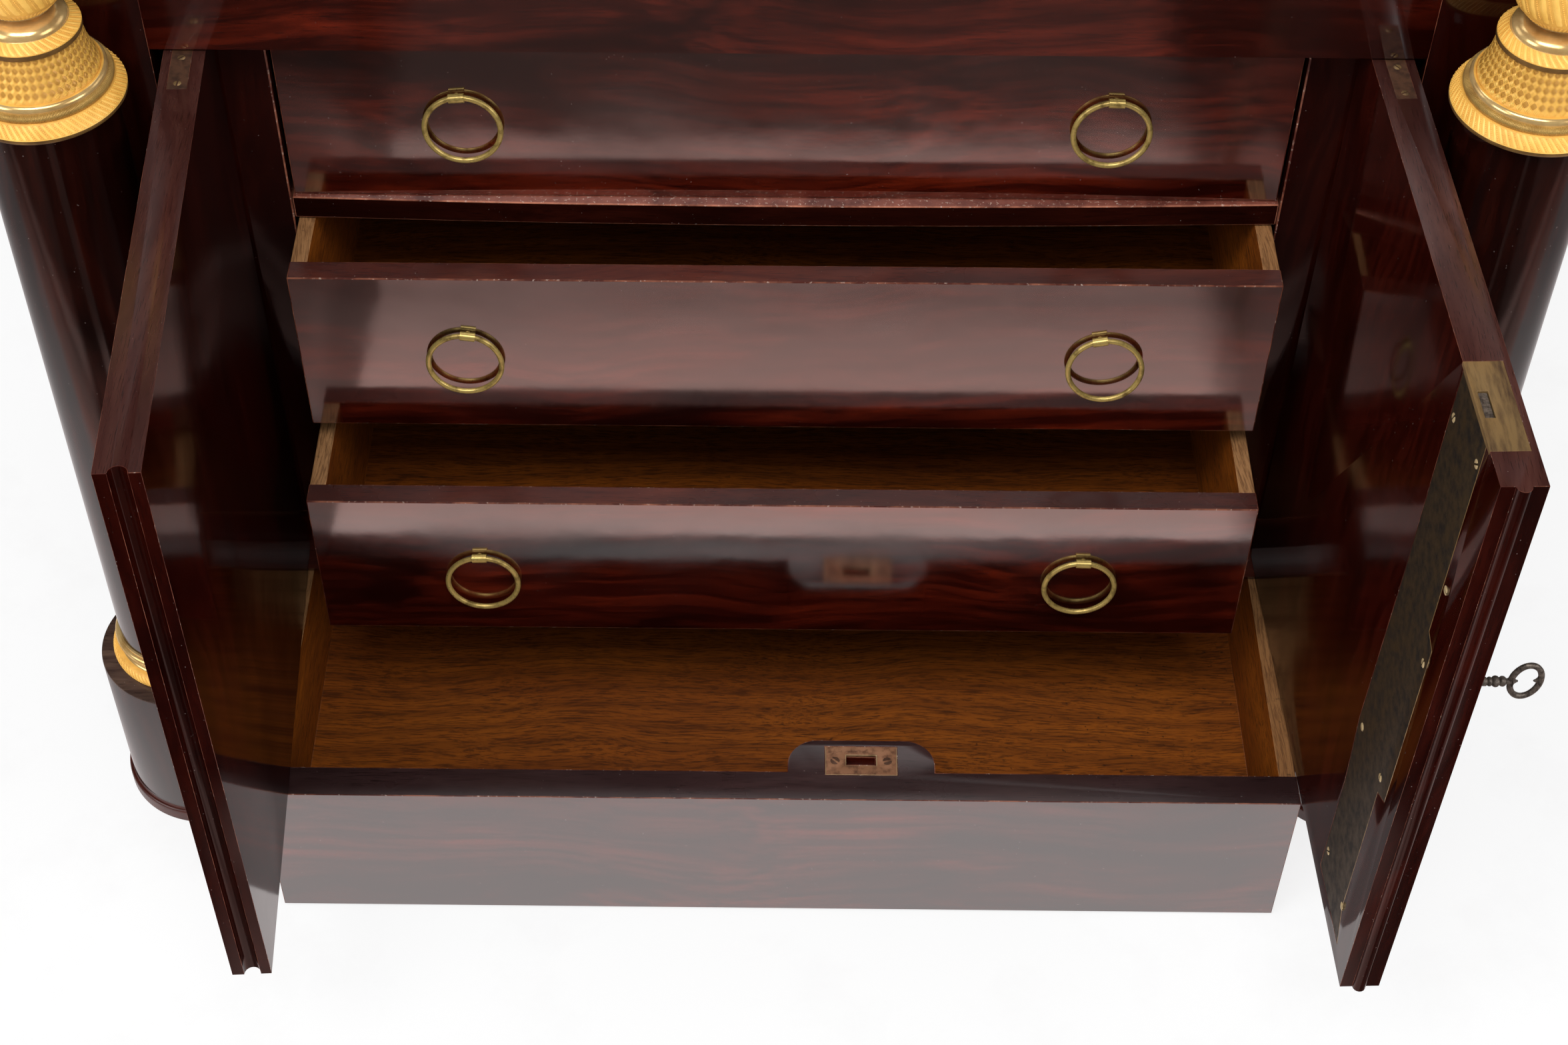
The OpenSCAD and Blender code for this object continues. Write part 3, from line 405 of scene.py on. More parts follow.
# the ground between the raised ornament is painted a little darker than the ornament, as painted
# shade in its hollows
gilt_ground = gilding("matte_gilding_with_painted_shade_in_hollows", "#f0b652", "#c8903a", 0.45, 0.6, metal=0.1)
gilt_bright = gilding("burnished_gilding", "#f5d290", "#c39858", 0.16, 0.05, metal=0.6)
gilt_dull = gilding("rubbed_dull_gilding", "#94703f", "#54391f", 0.3, 0.3)
gilt_reeded = gilding("reeded_gilding", "#dcb263", "#a3793a", reeds=320, grit=0.1)
ring_brass = old_brass("handled_brass_rings", "#c8ac64", "#6e5628", amount=0.4)
lock_brass = old_brass("browned_brass_lock_faceplate", "#94774e", "#5a4432", 0.3, 0.6, 0.5,
                       (160, 22, 160))
plate_copper = old_brass("reddened_brass_plinth_lock_plate", "#96684a", "#5c3b2a", 0.35, 0.5, 0.4)
leaf_brass = old_brass("browned_brass_hinge_leaves", "#5c3d2b", "#3a2418", 0.4, 0.6, 0.3)
screw_brass = old_brass("pale_brass_screws", "#cdb487", "#8a7040", 0.3, 0.3, 0.4)
cover_brass = old_brass("dull_brass_lock_cover", "#35260f", "#150e05", 0.5, 0.6, 0.2)
iron = wrought_iron("filed_iron")
leather = tooled_leather("tooled_brown_leather")
marble = grey_marble("polished_grey_marble")

# Meshes


def finished(name, mesh, smooth=40):
    mesh.shade_smooth()
    mesh.set_sharp_from_angle(angle=math.radians(smooth))
    piece = bpy.data.objects.new(name, mesh)
    scene.collection.objects.link(piece)
    return piece


def shape(name, verts, faces, finish, corners=None, smooth=40):
    """A piece from points in millimetres. Corners are the faces' UV places, in order."""
    mesh = bpy.data.meshes.new(name)
    mesh.from_pydata([(x * MM, y * MM, z * MM) for x, y, z in verts], [], faces)
    if corners:
        layer = mesh.uv_layers.new(name="UVMap")
        layer.data.foreach_set("uv", [value for corner in corners for value in corner])
    mesh.materials.append(finish)
    return finished(name, mesh, smooth)


def block(name, xs, ys, zs, finish):
    """Box between two places along each axis, in millimetres."""
    corners = [(x, y, z) for x in xs for y in ys for z in zs]
    sides = [(0, 1, 3, 2), (4, 6, 7, 5), (0, 4, 5, 1), (2, 3, 7, 6), (0, 2, 6, 4), (1, 5, 7, 3)]
    return shape(name, corners, sides, finish)


def move(piece, matrix):
    piece.data.transform(matrix)
    return piece


def evaluated_mesh(piece):
    """Turns what a piece's modifiers make into its plain mesh."""
    bpy.context.view_layer.update()
    mesh = bpy.data.meshes.new_from_object(
        piece.evaluated_get(bpy.context.evaluated_depsgraph_get()))
    piece.modifiers.clear()
    piece.data = mesh
    return piece


def join(name, parts, smooth=40):
    """Several pieces as one, their materials kept."""
    mesh = bpy.data.meshes.new(name)
    bm = bmesh.new()
    uv = bm.loops.layers.uv.new("UVMap")
    for part in parts:
        first = len(bm.faces)
        bm.from_mesh(part.data)
        bm.faces.ensure_lookup_table()
        offset = len(mesh.materials)
        for face in bm.faces[first:]:
            face.material_index += offset
        for material in part.data.materials:
            mesh.materials.append(material)
        bpy.data.objects.remove(part)
    bm.to_mesh(mesh)
    bm.free()
    return finished(name, mesh, smooth)


def rides(piece, body, slot, *replaced):
    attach(piece, body)
    if replaced:
        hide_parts(*replaced)
    return piece


def eased(name, node, body, slot, finishes, ease=0.8, choose=None, edge=None, smooth=24):
    """Stands for a CAD node: the same solid with merged faces and eased arrises. Edges over
    24 degrees stay sharp, so that the arris doesn't bend the mirror image in a flat face."""
    bm = bmesh.new()
    bm.from_mesh(nodes[node].data)
    bmesh.ops.remove_doubles(bm, verts=bm.verts, dist=2e-6)
    bmesh.ops.dissolve_limit(bm, angle_limit=math.radians(0.4), verts=bm.verts, edges=bm.edges)
    for face in bm.faces:
        face.material_index = choose(face) if choose else 0
    mesh = bpy.data.meshes.new(name)
    bm.to_mesh(mesh)
    bm.free()
    for finish in finishes:
        mesh.materials.append(finish)
    if edge:
        mesh.materials.append(edge)
    piece = finished(name, mesh, smooth)
    if ease:
        bevel = piece.modifiers.new("ease", "BEVEL")
        bevel.width = ease * MM
        bevel.segments = 2
        bevel.limit_method = "ANGLE"
        bevel.angle_limit = math.radians(40)
        bevel.material = len(finishes) if edge else -1
        bevel.harden_normals = False
        evaluated_mesh(piece)
        piece.data.shade_smooth()
        piece.data.set_sharp_from_angle(angle=math.radians(smooth))
    return rides(piece, body, slot, node)


def lathe(name, profile, finish, segments=144, smooth=32):
    """Turned piece round +Z. The profile runs (radius, height) from the foot's middle to the
    top's middle. Across the UV map runs the turn, up it the profile."""
    rows = []
    verts = []
    for radius, height in profile:
        if radius < 1e-6:
            rows.append([len(verts)])
            verts.append((0, 0, height))
        else:
            rows.append(range(len(verts), len(verts) + segments))
            verts += [(radius * math.cos(TURN * k / segments), radius * math.sin(TURN * k / segments),
                       height) for k in range(segments)]
    faces = []
    corners = []
    for i in range(len(rows) - 1):
        low, high = rows[i], rows[i + 1]
        v0, v1 = i / len(rows), (i + 1) / len(rows)
        for k in range(segments):
            n = (k + 1) % segments
            u0, u1 = k / segments, (k + 1) / segments
            if len(low) == 1:
                faces.append((low[0], high[n], high[k]))
                corners += [(u0, v0), (u1, v1), (u0, v1)]
            elif len(high) == 1:
                faces.append((low[k], low[n], high[0]))
                corners += [(u0, v0), (u1, v0), (u0, v1)]
            else:
                faces.append((low[k], low[n], high[n], high[k]))
                corners += [(u0, v0), (u1, v0), (u1, v1), (u0, v1)]
    return shape(name, verts, faces, finish, corners, smooth)


def arc(radius, height, size, start, end, steps=10):
    """Part of a round section for a lathe profile; angles are from straight out, in degrees."""
    out = []
    for k in range(steps + 1):
        a = math.radians(start + (end - start) * k / steps)
        out.append((radius + size * math.cos(a), height + size * math.sin(a)))
    return out


# Geometry nodes


def group(name, sockets):
    tree = bpy.data.node_groups.new(name, "GeometryNodeTree")
    for label, direction, kind in sockets:
        tree.interface.new_socket(label, in_out=direction, socket_type="NodeSocket" + kind)
    return tree


def round_the_axis():
    """Sets copies of one sector of ornament round +Z."""
    tree = group("round_the_axis", [
        ("Sector", "INPUT", "Geometry"), ("Count", "INPUT", "Int"),
        ("Finish", "INPUT", "Material"), ("Ring", "OUTPUT", "Geometry")])
    given = add(tree, "NodeGroupInput")
    points = add(tree, "GeometryNodePoints", {"Count": given.outputs["Count"]})
    step = add(tree, "ShaderNodeMath", {0: TURN, 1: given.outputs["Count"]}, operation="DIVIDE")
    angle = add(tree, "ShaderNodeMath", {0: add(tree, "GeometryNodeInputIndex"), 1: step},
                operation="MULTIPLY")
    turn = add(tree, "ShaderNodeCombineXYZ", {"Z": angle})
    copies = add(tree, "GeometryNodeInstanceOnPoints", {
        "Points": points, "Instance": given.outputs["Sector"], "Rotation": turn})
    coated = add(tree, "GeometryNodeSetMaterial", {
        "Geometry": add(tree, "GeometryNodeRealizeInstances", {0: copies}),
        "Material": given.outputs["Finish"]})
    add(tree, "NodeGroupOutput", {"Ring": coated})
    return tree


def at_places():
    """Sets one small piece at each point of the host mesh, turned by the point's own turn
    about its axis and then by one tilt that they share."""
    tree = group("at_places", [
        ("Places", "INPUT", "Geometry"), ("Piece", "INPUT", "Object"), ("Tilt", "INPUT", "Vector"),
        ("Seed", "INPUT", "Int"), ("Finish", "INPUT", "Material"), ("Set", "OUTPUT", "Geometry")])
    given = add(tree, "NodeGroupInput")
    piece = add(tree, "GeometryNodeObjectInfo", {"Object": given.outputs["Piece"]})
    spin = add(tree, "FunctionNodeRandomValue", {
        "Max": math.pi, "Seed": given.outputs["Seed"]}, data_type="FLOAT")
    turn = add(tree, "ShaderNodeCombineXYZ", {"Z": spin.outputs[1]})
    both = add(tree, "FunctionNodeRotateRotation", {
        "Rotation": given.outputs["Tilt"], "Rotate By": turn}, rotation_space="LOCAL")
    copies = add(tree, "GeometryNodeInstanceOnPoints", {
        "Points": given.outputs["Places"], "Instance": piece.outputs["Geometry"],
        "Rotation": both})
    coated = add(tree, "GeometryNodeSetMaterial", {
        "Geometry": add(tree, "GeometryNodeRealizeInstances", {0: copies}),
        "Material": given.outputs["Finish"]})
    add(tree, "NodeGroupOutput", {"Set": coated})
    return tree


ROUND = round_the_axis()
PLACES = at_places()


def with_nodes(piece, tree, **values):
    """Runs a node tree on a piece and keeps the plain mesh that comes out."""
    modifier = piece.modifiers.new(tree.name, "NODES")
    modifier.node_group = tree
    for item in tree.interface.items_tree:
        if item.in_out == "INPUT" and item.name in values:
            modifier[item.identifier] = values[item.name]
    evaluated_mesh(piece)
    piece.data.shade_smooth()
    piece.data.set_sharp_from_angle(angle=math.radians(50))
    return piece


def ringed(sector, count, finish):
    return with_nodes(sector, ROUND, Count=count, Finish=finish)


# Gilt ornament


def on_band(band, t):
    """Radius, height and outward normal at a share t along a band of a lathe profile."""
    spans = [math.dist(a, b) for a, b in zip(band, band[1:])]
    way = t * sum(spans)
    for (a, b), span in zip(zip(band, band[1:]), spans):
        if way <= span + 1e-9:
            break
        way -= span
    share = way / span
    dr, dz = (b[0] - a[0]) / span, (b[1] - a[1]) / span
    return a[0] + (b[0] - a[0]) * share, a[1] + (b[1] - a[1]) * share, dz, -dr


def on_turn(radius, height, angle):
    return radius * math.cos(angle), radius * math.sin(angle), height


BALL = bmesh.new()
bmesh.ops.create_icosphere(BALL, subdivisions=1, radius=1)
BALL_POINTS = [tuple(v.co) for v in BALL.verts]
BALL_FACES = [tuple(v.index for v in f.verts) for f in BALL.faces]
BALL.free()


def slanted_lobe(band, count, slant, width=0.62, lift=0.9, beads=7, bead=0.5, rows=7):
    """One gadroon and the row of beads beside it, leaning by slant degrees along the band."""
    pitch = TURN / count
    lean = math.radians(slant)
    verts = []
    faces = []
    across = 4
    for i in range(rows + 1):
        t = 0.03 + 0.94 * i / rows
        radius, height, nr, nz = on_band(band, t)
        swell = math.sin(math.pi * (0.12 + 0.76 * i / rows))
        for j in range(across + 1):
            s = j / across - 0.5
            up = lift * swell * math.cos(math.pi * s) - 0.15
            verts.append(on_turn(radius + nr * up, height + nz * up,
                                 lean * t + s * pitch * width))
    wide = across + 1
    for i in range(rows):
        for j in range(across):
            a = i * wide + j
            faces.append((a, a + 1, a + wide + 1, a + wide))
    rim = [j for j in range(wide)] + [i * wide + across for i in range(1, rows + 1)]
    rim += [rows * wide + j for j in range(across - 1, -1, -1)]
    rim += [i * wide for i in range(rows - 1, 0, -1)]
    faces.append(tuple(reversed(rim)))
    for k in range(beads):
        t = 0.07 + 0.86 * k / max(1, beads - 1)
        radius, height, nr, nz = on_band(band, t)
        middle = on_turn(radius + nr * 0.1, height + nz * 0.1, lean * t + pitch * 0.5)
        size = bead * (0.85 + 0.3 * (radius / band[0][0] - 0.7))
        first = len(verts)
        verts += [tuple(m + size * c for m, c in zip(middle, p)) for p in BALL_POINTS]
        faces += [tuple(first + v for v in f) for f in BALL_FACES]
    piece = shape("sector", verts, faces, gilt_matte)
    bm = bmesh.new()
    bm.from_mesh(piece.data)
    bmesh.ops.recalc_face_normals(bm, faces=bm.faces)
    bm.to_mesh(piece.data)
    bm.free()
    return piece


def woven_column(band, count, rows, lift=0.7):
    """One column of basket weave: straps that cross at 45 degrees, each an arched pad. The
    second UV coordinate is 2 higher on those that lean right, which their finish paints darker as
    painted shade."""
    pitch = TURN / count
    verts = []
    faces = []
    corners = []
    for row in range(int(rows * 2)):
        middle_t = (row + 1) / (rows * 2)
        middle_a = 0.0 if row % 2 else pitch / 2
        leans_right = row % 2
        first = len(verts)
        steps = 4
        for i in range(steps + 1):
            for j in range(steps + 1):
                run = i / steps - 0.5
                side = j / steps - 0.5
                p, q = run * 1.2, side * 0.86
                if not leans_right:
                    p, q = q, p
                t = min(0.995, max(0.005, middle_t + (p + q) / (rows * 2)))
                angle = middle_a + (p - q) * pitch * 0.5
                up = lift * (math.cos(math.pi * run) - 0.3) - 0.15 * (2 * side) ** 4
                radius, height, nr, nz = on_band(band, t)
                verts.append(on_turn(radius + nr * up, height + nz * up, angle))
        wide = steps + 1
        for i in range(steps):
            for j in range(steps):
                a = first + i * wide + j
                loop = [(a, i, j), (a + wide, i + 1, j), (a + wide + 1, i + 1, j + 1),
                        (a + 1, i, j + 1)]
                if not leans_right:
                    loop.reverse()
                faces.append(tuple(v for v, _, _ in loop))
                corners += [(n / steps, m / steps + 2 * leans_right) for _, m, n in loop]
    return shape("sector", verts, faces, gilt_matte, corners)


def leaf(band, count, width=0.86, lift=1.0, tip=True, rows=8):
    """One lamb's tongue: a ribbed leaf whose foot is on the band's start."""
    pitch = TURN / count
    verts = []
    faces = []
    across = 6
    for i in range(rows + 1):
        t = i / rows
        radius, height, nr, nz = on_band(band, t)
        narrow = math.sqrt(max(0.0, 1 - max(0.0, (t - 0.55) / 0.45) ** 2)) if tip else 1.0
        for j in range(across + 1):
            s = j / across - 0.5
            up = lift * (math.cos(math.pi * s) * 0.75 + 0.35 * math.exp(-(s * 9) ** 2))
            up = up * (0.35 + 0.65 * math.sin(math.pi * min(1.0, 0.15 + t))) - 0.2
            verts.append(on_turn(radius + nr * up, height + nz * up,
                                 s * pitch * width * max(narrow, 0.04)))
    wide = across + 1
    for i in range(rows):
        for j in range(across):
            a = i * wide + j
            faces.append((a, a + 1, a + wide + 1, a + wide))
    return shape("sector", verts, faces, gilt_matte)


def weave_finish():
    """Matte gilding with fine lines along each strap. Straps that lean right, marked by a second
    coordinate over 2, are painted darker, as painted shade on the straps of one direction."""
    material, tree, place = new_material("woven_matte_gilding_with_painted_shade")
    across = add(tree, "ShaderNodeSeparateXYZ", {0: add(tree, "ShaderNodeUVMap")})
    lines = add(tree, "ShaderNodeMath", {0: across, 1: TURN * 4}, operation="MULTIPLY")
    lines = add(tree, "ShaderNodeMath", {0: lines}, operation="SINE")
    # painted shade: the straps that lean right are darker than the others
    tone = layered(tree, "#fdc55c", (across.outputs[1], 1.2, 1.8, 0.75, "#b87f30"),
                   (lines, -0.2, -1.0, 0.7, "#8d5a1a"))
    relief = add(tree, "ShaderNodeBump", {
        "Height": lines, "Strength": 0.8, "Distance": 0.15 * MM})
    relief = add(tree, "ShaderNodeBump", {
        "Height": uneven(tree, place, 1500.0, 2.0, 0.6), "Strength": 0.25, "Distance": 0.1 * MM,
        "Normal": relief})
    close_material(tree, Base_Color=tone, Metallic=0.2, Roughness=0.34, Normal=relief)
    return material


gilt_woven = weave_finish()

# The mount's profile, from its foot up: flange, two rings, bell, fillet, hood, dome, lip, vase
FLANGE = [(50.4, 3.2), (47.6, 7.0), (45.2, 10.3)]
BELL = [(38.0, 19.2), (36.4, 23.0), (34.5, 28.0), (32.9, 34.0), (31.7, 41.0), (31.2, 46.0)]
HOOD = [(32.5, 50.5), (30.7, 51.8), (28.6, 53.4), (26.2, 55.1)]
DOME = [(15.5 + 10.4 * math.cos(a / 10 * math.pi / 2), 55.3 + 6.9 * math.sin(a / 10 * math.pi / 2))
        for a in range(11)]
LIP = [(20.2, 66.9), (21.6, 68.7), (24.2, 71.3), (27.0, 73.8)]
VASE = [(27.5, 74.4), (29.6, 79.4), (30.8, 85.0), (31.0, 92.0), (30.6, 100.0), (29.4, 108.0),
        (27.4, 116.0), (25.4, 124.5)]


def mount_profile():
    return ([(0, 0), (50.2, 0), (50.6, 0.5), (50.6, 2.7)] + FLANGE + [(44.0, 10.6)]
            + arc(42.0, 12.4, 2.6, -40, 90, 8) + [(41.6, 15.2)] + arc(38.3, 16.4, 3.3, -20, 90, 10)
            + BELL + [(31.2, 46.3), (32.3, 46.5), (32.6, 46.9), (32.6, 50.0)] + HOOD + DOME
            + [(14.4, 62.7), (14.0, 63.6), (14.0, 65.0), (18.8, 65.5), (19.8, 65.9), (19.8, 66.5)]
            + LIP + VASE
            + [(24.9, 126.0), (32.0, 127.0), (33.0, 128.2), (33.0, 133.0), (32.2, 134.0), (0, 134.0)])


COLUMN_X, COLUMN_Y = middle("capital_right", 0), middle("capital_right", 1)


def on_column(side, height):
    """Move to the axis of one column, at a height in millimetres."""
    return Matrix.Translation((side * COLUMN_X * MM, COLUMN_Y * MM, height * MM))


def banded(piece, *bands):
    """Gives the faces between two heights of a turned piece, in millimetres, a finish."""
    for low, high, finish in bands:
        if finish.name not in piece.data.materials:
            piece.data.materials.append(finish)
        index = piece.data.materials.find(finish.name)
        for face in piece.data.polygons:
            if low < face.center.z / MM < high:
                face.material_index = index


def gilt_mount(side, label):
    """Gilt mount at the top of a column's lower shaft."""
    body = lathe("body", mount_profile(), gilt_ground, 192)
    banded(body, (15.3, 19.4, gilt_bright), (55.1, 66.6, gilt_bright),
           (126.5, 133.5, gilt_bright), (10.6, 15.3, gilt_reeded), (2.9, 3.3, gilt_matte),
           (46.2, 50.2, gilt_dull), (-1, 2.9, gilt_dull))
    parts = [
        body,
        ringed(slanted_lobe(FLANGE, 76, -7, 0.6, 0.55, 9, 0.5), 76, gilt_matte),
        ringed(woven_column(BELL, 46, 5.25), 46, gilt_woven),
        ringed(slanted_lobe(HOOD, 44, -10, 0.6, 0.55, 9, 0.48), 44, gilt_matte),
        ringed(leaf(LIP, 60, lift=0.6, tip=False), 60, gilt_matte),
        ringed(slanted_lobe(VASE, 24, -34, 0.6, 1.0, 36, 0.45, 14), 24, gilt_matte)]
    mount = join("gilt_mount_" + label, parts)
    move(mount, on_column(side, ends("mount_" + label, 2)[0]))
    return rides(mount, "case", "gilt", "mount_" + label)


def gilt_base(side, label):
    """Gilt base between the drum and the shaft, with slanted rows of beads on its torus."""
    torus = arc(46.6, 6.4, 5.9, -80, 82, 14)
    neck = [(46.6, 12.4), (45.6, 13.0), (44.6, 15.0), (44.6, 17.4), (45.4, 19.4)]
    seat = [(45.2, 26.2), (46.0, 26.6), (46.0, 28.0), (0, 28.0)]
    profile = [(0, 0), (50.0, 0)] + torus + neck + arc(45.4, 22.4, 3.1, -85, 90, 10) + seat
    body = lathe("body", profile, gilt_ground, 160)
    banded(body, (12.4, 28.1, gilt_bright))
    lobes = ringed(slanted_lobe(torus[2:13], 96, -9, 0.8, 0.4, 11, 0.42), 96, gilt_matte)
    base = join("gilt_base_" + label, [body, lobes])
    move(base, on_column(side, ends("base_" + label, 2)[0]))
    return rides(base, "case", "gilt", "base_" + label)


def gilt_capital(side, label):
    """Gilt capital: a bell of sixteen leaves under a square plate with hollowed sides."""
    bell = [(29.5, 7.0), (29.8, 16.0), (31.6, 25.0), (35.6, 33.0), (38.6, 37.0)]
    profile = ([(0, 0), (29.0, 0)] + arc(28.6, 3.0, 3.0, -80, 80, 8) + [(28.8, 6.4)] + bell
               + [(38.6, 38.0), (0, 38.0)])
    body = lathe("body", profile, gilt_ground, 128)
    leaves = ringed(leaf(bell, 16, lift=2.4, rows=10), 16, gilt_matte)
    outline = []
    for corner in range(4):
        for k in range(13):
            t = k / 12
            hollow = 5.0 * math.sin(math.pi * t) if 0 < k < 12 else 0.0
            x, y = 42 - hollow, -38.0 + 76.0 * t
            a = corner * math.pi / 2
            outline.append((x * math.cos(a) - y * math.sin(a), x * math.sin(a) + y * math.cos(a)))
    verts = []
    faces = []
    n = len(outline)
    levels = [(0.94, 38.0), (0.96, 41.5), (1.0, 43.0), (1.0, 48.0), (0.975, 49.2), (0.975, 52.0)]
    for share, height in levels:
        verts += [(x * share, y * share, height) for x, y in outline]
    for i in range(len(levels) - 1):
        for k in range(n):
            m = (k + 1) % n
            faces.append((i * n + k, i * n + m, (i + 1) * n + m, (i + 1) * n + k))
    faces.append(tuple(reversed(range(n))))
    faces.append(tuple(range((len(levels) - 1) * n, len(levels) * n)))
    plate = shape("plate", verts, faces, gilt_bright, smooth=25)
    capital = join("gilt_capital_" + label, [body, leaves, plate])
    move(capital, on_column(side, ends("capital_" + label, 2)[0]))
    return rides(capital, "case", "gilt", "capital_" + label)


def turned_column(side, label):
    """Drum, lower shaft and upper shaft of one column, and its gilt pieces."""
    axis = on_column(side, 0)
    top = ends("drum_" + label, 2)[1]
    foot_ring = [(0, 0), (65.4, 0), (66.0, 0.6), (66.0, 8.6)] + arc(63.8, 9.9, 2.2, 0, 90, 6)
    wall = [(63.6, 12.8), (63.1, 14.2), (63.0, 16.0), (63.0, top - 1.2), (62.7, top - 0.4),
            (61.9, top), (0, top)]
    drum = lathe("mahogany_drum_" + label, foot_ring + wall, column_wood)
    banded(drum, (-1, 14.5, edge_wood), (top - 1.2, top + 1, drum_top))
    batten = block("batten", (-20, 20), (55, -COLUMN_Y), (23, top - 20), stiles_wood)
    drum = join("mahogany_drum_" + label, [drum, batten])
    rides(move(drum, axis), "case", "mahogany", "drum_" + label)
    foot, top = ends("shaft_" + label, 2)
    taper = [(44.5 - up / 483.0, foot + 1 + up) for up in (0, 118, 238, 358, 482)]
    shaft = lathe("mahogany_shaft_" + label,
                  [(0, foot), (44.5, foot)] + taper + [(43.5, top), (0, top)], column_wood)
    rides(move(shaft, axis), "case", "mahogany", "shaft_" + label)
    foot, top = ends("upper_shaft_" + label, 2)
    upper = lathe("mahogany_upper_shaft_" + label, [
        (0, foot), (30, foot), (29.8, foot + 91), (29.5, foot + 211), (29.2, foot + 311), (29, top),
        (0, top)], column_wood, 96)
    rides(move(upper, axis), "case", "mahogany", "upper_shaft_" + label)
    gilt_mount(side, label)
    gilt_base(side, label)
    gilt_capital(side, label)


for side, label in ((-1, "left"), (1, "right")):
    turned_column(side, label)

# Screws


def screw_head(radius, height):
    """Slotted screw head on z = 0: two half discs with a slot between them."""
    verts = []
    faces = []
    for flip in (1, -1):
        first = len(verts)
        angles = [math.radians(14 + 152 * k / 10) for k in range(11)]
        outline = [(math.cos(a), math.sin(a)) for a in angles]
        for share, z in ((1.0, -0.3), (1.0, height * 0.4), (0.82, height)):
            verts += [(flip * radius * share * x, flip * radius * max(share * y, 0.2), z)
                      for x, y in outline]
        n = len(outline)
        for level in range(2):
            for k in range(n):
                m = (k + 1) % n
                a = first + level * n
                faces.append((a + k, a + m, a + n + m, a + n + k))
        faces.append(tuple(first + 2 * n + k for k in range(n)))
        faces.append(tuple(first + k for k in reversed(range(n))))
    return shape("screw_head", verts, faces, screw_brass, smooth=20)


def screws(name, body, points, tilt, radius, height=0.35, seed=0, finish=None):
    """Screw heads at points in metres, whose shared tilt turns their axis from +Z."""
    head = screw_head(radius, height)
    host = shape(name, [tuple(v / MM for v in point) for point in points], [], screw_brass)
    with_nodes(host, PLACES, Piece=head, Tilt=tilt, Seed=seed, Finish=finish or screw_brass)
    bpy.data.objects.remove(head)
    return rides(host, body, "brass")


def door_swing(body):
    """Swing of a shut door to where it stands in the photograph, and its angle."""
    hinge = next(joint for joint in frame["joints"] if joint["child"] == body)
    angle = math.radians(-hinge["range_deg"][0] * hinge["axis"][2])
    pivot = Matrix.Translation(hinge["pos_m"])
    return pivot @ Matrix.Rotation(angle, 4, "Z") @ pivot.inverted(), angle


LEFT_SWING = door_swing("left_door")[0]
RIGHT_SWING, RIGHT_ANGLE = door_swing("right_door")


def on_door(swing, x, y, z):
    """Place in metres, with the door swung, of a point given in millimetres on the shut door."""
    return tuple(swing @ Vector((x * MM, y * MM, z * MM)))


# Case wood


def front_edge_back(face):
    """Polish on the front, rubbed wood on top and underside, dull wood behind."""
    if abs(face.normal.z) > 0.8:
        return 1
    return 2 if face.normal.y > 0.3 else 0


def case_piece(node, finish, edge_finish=None, ease=0.8, edge=None):
    finishes = [finish, edge_finish or finish, inner_wood]
    eased("mahogany_" + node, node, "case", "mahogany", finishes, ease, front_edge_back,
          edge or arris)


for label in ("left", "right"):
    case_piece("side_" + label, stiles_wood)
    case_piece("pilaster_" + label, stiles_wood, edge_wood)
    case_piece("inner_stile_" + label, stiles_wood, ease=1.0)
case_piece("door_rail", rails)
case_piece("divider_lower", inner_wood, divider_top, 0.8, bright_arris)
case_piece("divider_upper", inner_wood, divider_top, 0.8, bright_arris)
case_piece("case_bottom", rails, edge_wood)
case_piece("interior_frame", stiles_wood, ease=0.6)
case_piece("frieze_frame", rails)
case_piece("top_board", rails, ease=1.5)
eased("oak_drawer_runners", "drawer_runners", "case", "oak", [oak_wall], 0.6)
eased("oak_desk_deck", "desk_deck", "case", "oak", [oak_floor], 0.6)
eased("marble_slab", "marble_top", "case", "stone", [marble], 1.2)
eased("oak_back", "back_panel", "case", "oak", [oak_back], 0.8)

# Doors


def door_face(face):
    """Rubbed wood on a door's top and foot, polish on the rest."""
    return 1 if abs(face.normal.z) > 0.8 else 0


for label in ("left", "right"):
    body = label + "_door"
    eased("mahogany_door_" + label, "door_" + label, body, "mahogany",
          [doors_wood, edge_wood_deep], 0.7, door_face, arris)
    eased("brass_hinge_leaves_" + label, "hinge_leaves_" + label, body, "brass", [leaf_brass], 0.25)
eased("brass_hinge_leaves_on_case", "hinge_leaves_case", "case", "brass", [leaf_brass], 0.25)
# Screws of a hinge leaf: how far from the middle they are with the door shut, and its pivot's y
LEAF_SCREWS_X = (362, 336)
PIVOT_Y = 12
for side, label, swing in ((-1, "left", LEFT_SWING), (1, "right", RIGHT_SWING)):
    body = label + "_door"
    door_top = ends("door_" + label, 2)[1]
    screws("hinge_leaf_screws_" + body, body,
           [on_door(swing, side * x, PIVOT_Y, door_top) for x in LEAF_SCREWS_X], (0, 0, 0), 2.5,
           0.3, 3 + side, lock_brass)
# Places (x, z) of the screws round the lock cover, on the inner face of the shut door
COVER_SCREWS = [(39, 612), (87, 600), (28, 520), (28, 455), (38, 330), (88, 318), (36, 190),
                (84, 186)]
DOOR_T = 26.5
screws("lock_cover_screws", "right_door",
       [on_door(RIGHT_SWING, x, DOOR_T, z) for x, z in COVER_SCREWS],
       (-math.pi / 2, 0, RIGHT_ANGLE), 2.9, 0.5, seed=8)
eased("brass_lock_faceplate", "lock_faceplate", "right_door", "brass", [lock_brass], 0.3)
eased("brass_lock_cover", "lock_cover", "right_door", "brass", [cover_brass], 0.8, None,
      lock_brass)
eased("iron_lock_bolt", "lock_bolt", "bolt", "iron", [iron], 0.4)


# Distance of the keyhole from the middle of the shut doors
KEYHOLE_X = 31


